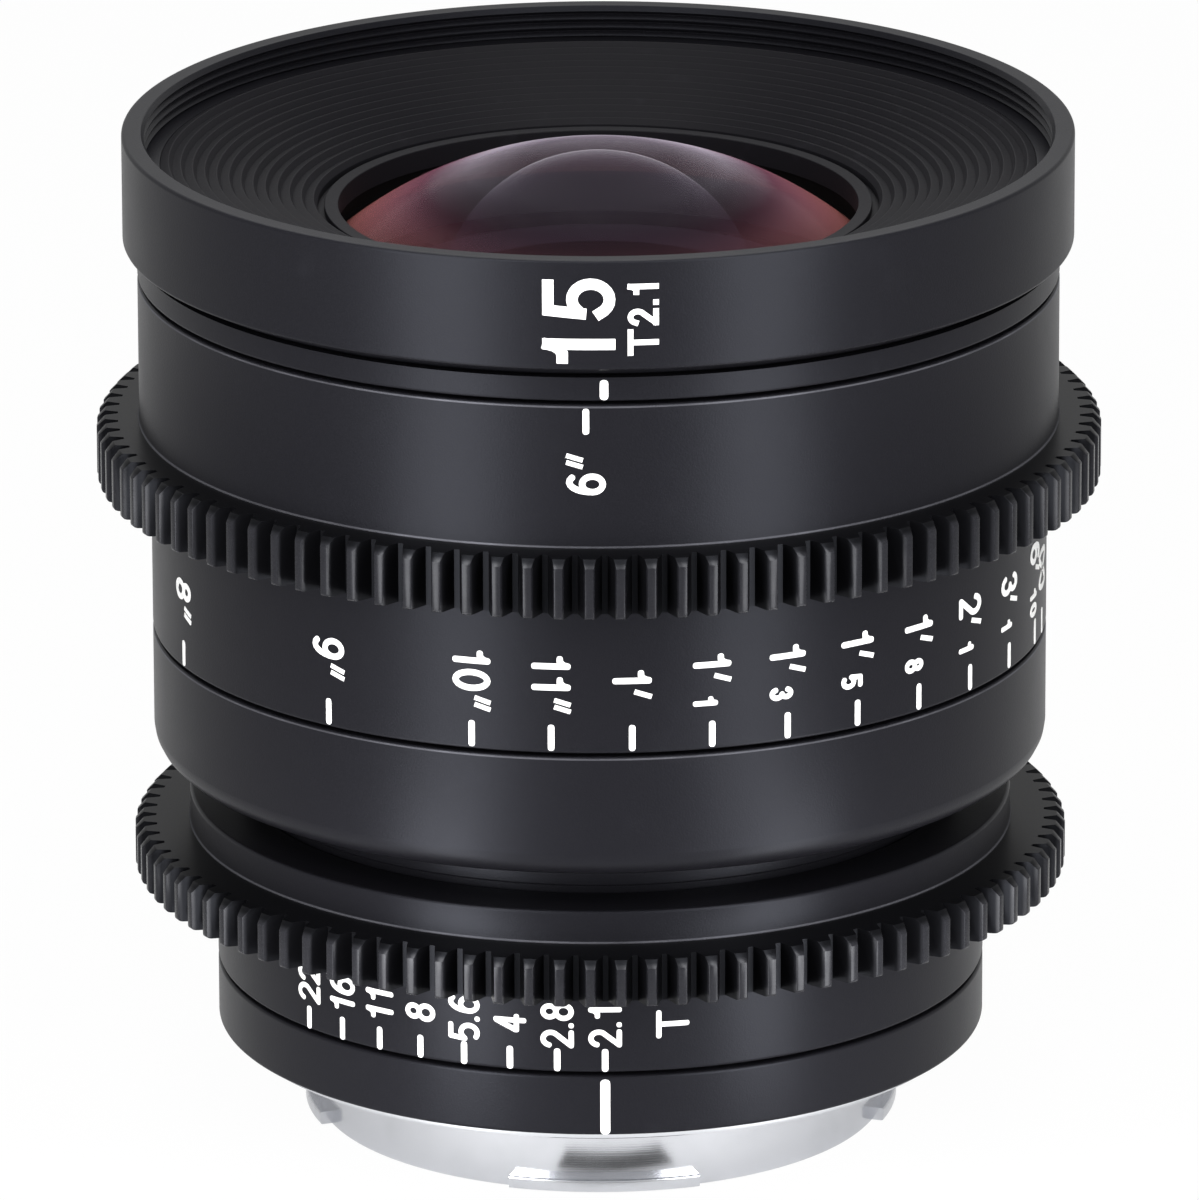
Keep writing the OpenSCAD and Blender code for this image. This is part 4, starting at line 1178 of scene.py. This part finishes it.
class Pen:
    """Draws figures as raised strokes of one height and width, each figure modelled once."""

    def __init__(self, sizes, height, width, round_ends=True):
        self.sizes = sizes
        self.height = height
        self.width = width
        self.round_ends = round_ends
        self.models = {}

    def stroke(self, points, level, width, flat=False):
        """One stroke as a closed bar on the plane Z = 0."""
        bottom = -self.sizes.sunk
        chain = [Vector((x, y, bottom)) for x, y in points]
        loop = (chain[0] - chain[-1]).length < MERGE
        if not loop:
            chain[0] += (chain[0] - chain[1]).normalized() * width / 2
            chain[-1] += (chain[-1] - chain[-2]).normalized() * width / 2
        piece = begin("stroke", chain[0])
        draw(chain)
        bpy.ops.mesh.select_all(action="SELECT")
        if loop:
            bpy.ops.mesh.remove_doubles(threshold=MERGE)
        rise = self.sizes.sunk + self.sizes.raised + level * LAYER
        bpy.ops.mesh.extrude_region_move(TRANSFORM_OT_translate={"value": (0, 0, rise)})
        bpy.ops.mesh.select_all(action="SELECT")
        bpy.ops.mesh.normals_make_consistent(inside=False)
        bpy.ops.object.mode_set(mode="OBJECT")
        modify(piece, "SOLIDIFY", thickness=width, offset=0, use_even_offset=True)
        if self.round_ends and not loop and not flat:
            self.round_off(piece, (chain[0], chain[-1]), width)
        return piece

    def round_off(self, piece, ends, width):
        """Rounds the upright edges at the two ends of a stroke."""
        bpy.ops.object.mode_set(mode="EDIT")
        near = END_NEAR * width
        pick_edges(piece, lambda edge: (edge.verts[0].co.xy - edge.verts[1].co.xy).length < MERGE
                   and any((edge.verts[0].co.xy - end.xy).length < near for end in ends)
                   and edge.calc_face_angle(0) > END_SHARP)
        bpy.ops.mesh.bevel(offset=END_ROUND * width, segments=3, affect="EDGES")
        bpy.ops.object.mode_set(mode="OBJECT")

    def model(self, figure, height):
        """A figure standing on the X axis, cut into strips so that it can bend round a ring."""
        key = (figure, height)
        if key not in self.models:
            share, strokes = FIGURES[figure]
            width = self.width * THIN.get(figure, 1) * (SMALL_PEN if height < self.height else 1)
            wide = max(share * height - width, 0)
            tall = height - width
            bars = []
            for level, stroke in enumerate(strokes):
                points = [(width / 2 + x * wide, width / 2 + y * tall) for x, y in stroke]
                bars.append(self.stroke(points, level, width, figure in THIN))
            self.models[key] = self.strips(bars, height)
        return self.models[key]

    def bar(self, along):
        """A plain mark, a stroke along X centred on the origin."""
        key = ("bar", along)
        if key not in self.models:
            half = (along - self.width) / 2
            self.models[key] = self.strips([self.stroke([(-half, 0), (half, 0)], 0, self.width)], 0)
        return self.models[key]

    def strips(self, bars, height):
        """Joins the bars of a figure and cuts them into strips."""
        piece = joined(bars)
        bpy.ops.object.mode_set(mode="EDIT")
        for i in range(1, int(height / STRIP) + 1):
            bpy.ops.mesh.select_all(action="SELECT")
            bpy.ops.mesh.bisect(plane_co=(0, i * STRIP, 0), plane_no=(0, 1, 0))
        bpy.ops.object.mode_set(mode="OBJECT")
        return piece

    def clear(self):
        """Removes the models once their copies are placed."""
        for model in self.models.values():
            bpy.data.objects.remove(model)
        self.models = {}


# Turns that stand flat marks on a ring so that they read up or down it
UPWARD = Matrix(((0, -1, 0, 0), (0, 0, -1, 0), (1, 0, 0, 0), (0, 0, 0, 1)))
DOWNWARD = Matrix(((0, 1, 0, 0), (0, 0, -1, 0), (-1, 0, 0, 0), (0, 0, 0, 1)))


class Scale:
    """Marks laid out flat and then bent round a ring. Angles count from the front, towards +X."""

    def __init__(self, name, radius):
        self.name = name
        self.radius = radius
        self.copies = []

    def put(self, model, matrix):
        """Adds a copy of a model with its own mesh."""
        copy = model.copy()
        copy.data = model.data.copy()
        copy.matrix_world = matrix
        bpy.context.collection.objects.link(copy)
        self.copies.append(copy)

    def tick(self, pen, angle, bottom, top):
        """An upright mark between two heights."""
        place = Matrix.Translation((self.radius * angle, 0, (bottom + top) / 2))
        self.put(pen.bar(top - bottom), place @ UPWARD)

    def text(self, pen, words, angle, z, reading, gap, shift=0.0):
        """Figures that read up or down the ring, centred on an angle and a height."""
        row = []
        small = False
        for figure in words:
            height = pen.height * (SMALL if small else 1)
            wide = FIGURES[figure][0] * height
            if figure == "'" and words[-1] != "'":
                wide += AFTER_FEET * height
            row.append((figure, height, wide))
            small = small or figure == "'"
        total = sum(wide for _, _, wide in row) + gap * (len(row) - 1)
        centre = Matrix.Translation((self.radius * angle + shift, 0, z)) @ reading
        x = -total / 2
        for figure, height, wide in row:
            self.put(pen.model(figure, height), centre @ Matrix.Translation((x, -pen.height / 2, 0)))
            x += wide + gap

    def wrap(self, body, material):
        """Joins the marks, bends them round the ring and fixes them to its body."""
        piece = joined(self.copies)
        piece.name = self.name
        piece.data.name = self.name
        bpy.ops.object.transform_apply(location=True, rotation=True, scale=True)
        modify(piece, "SIMPLE_DEFORM", deform_method="BEND", deform_axis="Z",
               angle=piece.dimensions.x / self.radius)
        piece.data.transform(Matrix.Translation((0, -self.radius, 0)))
        smooth(piece)
        dress(piece, material, body=body, slot="marking")


# Height of the distance figures and width of their strokes
FOCUS_FIGURE = 3.25 * MM
FOCUS_PEN = 0.52 * MM
# Where each distance stands on the lower scale, in degrees
FOCUS_MARKS = {
    '6"': -182.2, '8"': -67.5, '9"': -36.9, '10"': -16.8, '11"': -6.7, "1'": 3.4, "1'1": 13.5,
    "1'3": 23.5, "1'5": 33.6, "1'8": 43.7, "2'1": 53.9, "3'1": 64.2, "6'10": 74.6, "~": 79.4,
}
STOPS = ("2.1", "2.8", "4", "5.6", "8", "11", "16", "22")


class LENS_OT_markings(bpy.types.Operator):
    """Draw the figures and lines on the rings"""

    bl_idname = "lens.markings"
    bl_label = "Markings"

    def execute(self, context):
        sizes = context.scene.lens_sizes
        places = context.scene.lens_marks
        paint = filling(context.scene.lens_colours)
        self.front(sizes, places, paint)
        self.focus(sizes, places, paint)
        self.iris(sizes, places, paint)
        return {"FINISHED"}

    def front(self, sizes, places, paint):
        """Focal length and widest stop on the front ring, and the index below them."""
        marks = Scale("front_figures", reach("front_ring"))
        big = Pen(sizes, places.front_figure, places.front_pen, round_ends=False)
        marks.text(big, ("1", "5 wide"), 0, places.front_z, UPWARD, places.front_gap, places.front_shift)
        stop = Pen(sizes, places.widest_figure, places.widest_pen, round_ends=False)
        marks.text(stop, "T2.1", 0, places.widest_z, UPWARD, places.widest_gap, places.widest_shift)
        marks.wrap("barrel", paint)
        index = Scale("front_index_mark", reach("index_ring"))
        line = Pen(sizes, 0, places.index_pen)
        for turn in (0, math.pi):
            index.tick(line, turn, low("index_ring") + places.index_below,
                       high("index_ring") - places.index_above)
        index.wrap("barrel", paint)
        for pen in (big, stop, line):
            pen.clear()

    def focus(self, sizes, places, paint):
        """Distance figures above and below the focus gear."""
        pen = Pen(sizes, FOCUS_FIGURE, FOCUS_PEN)
        line = Pen(sizes, 0, places.line_pen)
        upper = Scale("sleeve_distance_marks", reach("index_ring"))
        lower = Scale("distance_scale_marks", reach("distance_scale_ring"))
        top = high("focus_sleeve") - places.upper_margin
        bottom = low("distance_scale_ring") + places.lower_margin
        for words, degrees in FOCUS_MARKS.items():
            near = math.radians(degrees)
            far = near + math.pi
            lower.tick(line, near, bottom, bottom + places.lower_line)
            lower.text(pen, words, near, bottom + places.lower_figures, DOWNWARD, places.focus_gap)
            upper.tick(line, far, top - places.upper_line, top)
            upper.text(pen, words, far, top - places.upper_figures, UPWARD, places.focus_gap)
        upper.wrap("focus_ring", paint)
        lower.wrap("focus_ring", paint)
        rear = Scale("rear_index_mark", reach("rear_barrel"))
        top = high("rear_barrel") - places.rear_margin
        rear.tick(line, math.pi, top - places.upper_line, top)
        rear.wrap("barrel", paint)
        for each in (pen, line):
            each.clear()

    def iris(self, sizes, places, paint):
        """T-stop figures on the iris ring and the index line on the mount collar."""
        pen = Pen(sizes, places.stop_figure, places.stop_pen)
        line = Pen(sizes, 0, places.line_pen)
        stops = Scale("stop_marks", reach("mount_collar"))
        bottom = low("iris_ring") + places.stop_margin
        middle = bottom + places.stop_figures
        for i, words in enumerate(STOPS):
            stops.tick(line, -i * places.stop_turn, bottom, bottom + places.stop_line)
            stops.text(pen, words, -i * places.stop_turn, middle, UPWARD, places.stop_gap)
        stops.text(pen, "T", 0, middle, UPWARD, 0, places.stop_letter)
        stops.wrap("iris_control", paint)
        index = Scale("collar_index_mark", reach("mount_collar"))
        wide = Pen(sizes, 0, places.collar_pen)
        index.tick(wide, 0, low("mount_collar") + places.stop_margin,
                   high("mount_collar") - places.collar_above)
        index.wrap("barrel", paint)
        for each in (pen, line, wide):
            each.clear()


class LENS_OT_inner_finishes(bpy.types.Operator):
    """Finish the inner parts, whose shapes come straight from the frame"""

    bl_idname = "lens.inner_finishes"
    bl_label = "Inner finishes"

    def execute(self, context):
        colours = context.scene.lens_colours
        finishes = {
            "inner_black": matte_black("inside_anodised", colours.inside, 0.6),
            "steel": lathe_metal("ground_steel", colours.steel, 0.3, 0.2 * MM, 0.003 * MM),
            "brass": lathe_metal("machined_brass", colours.brass, 0.28, 0.25 * MM, 0.004 * MM),
            "blade_steel": matte_black("blackened_steel", colours.blade, 0.42, 1800),
        }
        for name, piece in frame["nodes"].items():
            if SLOT_OF[name] in finishes and not piece.hide_render:
                piece.data.materials.clear()
                piece.data.materials.append(finishes[SLOT_OF[name]])
        return {"FINISHED"}


# Place and size of each light in millimetres, and the setting that holds its brightness
LIGHTS = {
    "left_card": ((-49.6, -84.4, 72), (36, 158), "card_left"),
    "right_card": ((50.7, -83.6, 72), (34, 158), "card_right"),
    "low_left_card": ((-31, -53, 7.5), (16, 29), "card_low"),
    "low_right_card": ((35.4, -50, 7.5), (16, 29), "card_low"),
    "back_softbox": ((0, 260, 420), (320, 200), "back"),
    "top_softbox": ((0, -180, 620), (520, 420), "top"),
}
# The dark sheet's place and size on the floor, in millimetres: painted shade that the bright spigot mirrors
SHADE_SHEET_PLACE = (1.5, -30.5)
SHADE_SHEET_SIZE = (14, 4.5)
SHADE_SHEET_COLOUR = (0.02, 0.02, 0.02)
WHITE = (1, 1, 1, 1)
# How far the camera sees, in metres
CLIP_END = 20


class LENS_OT_stage(bpy.types.Operator):
    """Set the floor, the light and the camera"""

    bl_idname = "lens.stage"
    bl_label = "Stage"

    def execute(self, context):
        settings = context.scene.lens_stage
        self.floor(context, settings)
        # A black sheet of painted shade for the spigot to mirror
        self.flag(context, settings)
        self.surround(context, settings)
        for name, (place, size, brightness) in LIGHTS.items():
            self.light(settings, name, place, size, getattr(settings, brightness))
        self.camera(context, settings)
        context.scene.view_settings.view_transform = "Standard"
        return {"FINISHED"}

    def seen(self, finish, settings):
        """1 for the rays that show the background straight or through glass, less for mirrored ones."""
        path = finish.node("ShaderNodeLightPath").socket.node
        straight, mirrored, through = (Wire(finish, path.outputs[name]) for name in
                                       ("Is Camera Ray", "Is Glossy Ray", "Is Transmission Ray"))
        either = straight.math("MAXIMUM", straight, mirrored * settings.mirrored)
        return either.math("MAXIMUM", either, through)

    def floor(self, context, settings):
        """A pale floor that shows as white and keeps the shadow."""
        bpy.ops.object.select_all(action="DESELECT")
        bpy.ops.mesh.primitive_grid_add(x_subdivisions=4, y_subdivisions=4, size=settings.floor_size)
        floor = context.object
        floor.name = "floor"
        floor.data.transform(Matrix.Translation((0, 0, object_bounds()[0].z)))
        finish = Finish("pale_floor")
        shade = (*context.scene.lens_colours.floor, 1)
        matte = finish.node("ShaderNodeBsdfDiffuse", None, {"Color": shade})
        glow = finish.node("ShaderNodeEmission", None, {"Color": WHITE, "Strength": 1.0})
        share = self.seen(finish, settings) * settings.floor_glow
        mixed = finish.node("ShaderNodeMixShader", None, {0: share, 1: matte, 2: glow})
        finish.node("ShaderNodeOutputMaterial", None, {"Surface": mixed})
        floor.data.materials.append(finish.owner)
        floor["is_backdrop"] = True

    def flag(self, context, settings):
        """A dark sheet by the lens's foot, hidden from the camera, that stands in for shade: painted shade
        that the bright spigot mirrors.
        """
        bpy.ops.object.select_all(action="DESELECT")
        bpy.ops.mesh.primitive_plane_add(size=1)
        flag = context.object
        flag.name = "dark_flag"
        x, y = (MM * part for part in SHADE_SHEET_PLACE)
        wide, deep = (MM * part for part in SHADE_SHEET_SIZE)
        flag.data.transform(Matrix.Translation((x, y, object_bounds()[0].z + settings.shade_sheet_lift))
                            @ Matrix.Diagonal((wide, deep, 1, 1)))
        flag.visible_camera = False
        # Painted shade: the sheet is black so that the spigot mirrors it as a dark band
        flag.data.materials.append(matte_black("flag_cloth", SHADE_SHEET_COLOUR, 0.8))
        flag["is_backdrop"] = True

    def surround(self, context, settings):
        """A white world that lights the lens less than it shows."""
        finish = Finish("white_surround", world=True)
        context.scene.world = finish.owner
        strength = settings.ambient + (1 - settings.ambient) * self.seen(finish, settings)
        light = finish.node("ShaderNodeBackground", None, {"Color": WHITE, "Strength": strength})
        finish.node("ShaderNodeOutputWorld", None, {"Surface": light})

    def light(self, settings, name, place_mm, size_mm, brightness):
        """An area lamp of an even brightness that faces the lens."""
        bpy.ops.object.select_all(action="DESELECT")
        bpy.ops.object.light_add(type="AREA", location=[MM * part for part in place_mm])
        lamp = bpy.context.object
        lamp.name = name
        lamp.data.shape = "RECTANGLE"
        lamp.data.size = size_mm[0] * MM
        lamp.data.size_y = size_mm[1] * MM
        lamp.data.energy = brightness * math.pi * lamp.data.size * lamp.data.size_y
        aim = Vector((0, 0, min(lamp.location.z, settings.aim))) - lamp.location
        lamp.rotation_euler = aim.to_track_quat("-Z", "Y").to_euler()
        lamp.visible_camera = False

    def camera(self, context, settings):
        """The camera, looking down on the lens from the front."""
        bpy.ops.object.select_all(action="DESELECT")
        bpy.ops.object.camera_add()
        camera = context.object
        camera.name = "photo_camera"
        camera.data.sensor_fit = "VERTICAL"
        camera.data.sensor_height = settings.sensor
        camera.data.lens = settings.focal
        camera.data.clip_end = CLIP_END
        look = (Matrix.Rotation(math.pi / 2 - settings.pitch, 4, "X")
                @ Matrix.Rotation(settings.roll, 4, "Z"))
        stand = Matrix.Translation((0, -settings.distance, settings.height))
        camera.matrix_world = Matrix.Rotation(settings.turn, 4, "Z") @ stand @ look
        context.scene.camera = camera


class LENS_PT_panel(bpy.types.Panel):
    """The lens's pieces, in the order they are made"""

    bl_idname = "LENS_PT_panel"
    bl_label = "Cinema prime lens"
    bl_space_type = "VIEW_3D"
    bl_region_type = "UI"
    bl_category = "Lens"

    def draw(self, context):
        for operator in OPERATORS:
            self.layout.operator(operator.bl_idname)


GROUPS = {
    "lens_sizes": LensSizes,
    "lens_marks": MarkSizes,
    "lens_colours": LensColours,
    "lens_stage": StageSettings,
}
OPERATORS = (
    LENS_OT_front_ring, LENS_OT_front_baffle, LENS_OT_glass, LENS_OT_focus_rings, LENS_OT_drive_gears,
    LENS_OT_rear_rings, LENS_OT_bayonet_mount, LENS_OT_markings, LENS_OT_inner_finishes, LENS_OT_stage,
)


def register():
    """Adds the settings, the operators and the panel to Blender."""
    for group in (*GROUPS.values(), *OPERATORS, LENS_PT_panel):
        bpy.utils.register_class(group)
    for name, group in GROUPS.items():
        setattr(bpy.types.Scene, name, PointerProperty(type=group))


def unregister():
    """Takes them out again."""
    for name in GROUPS:
        delattr(bpy.types.Scene, name)
    for group in (LENS_PT_panel, *reversed(OPERATORS), *GROUPS.values()):
        bpy.utils.unregister_class(group)


def main():
    """Makes all pieces in order."""
    register()
    for operator in OPERATORS:
        family, name = operator.bl_idname.split(".")
        getattr(getattr(bpy.ops, family), name)()


if __name__ == "__main__":
    main()
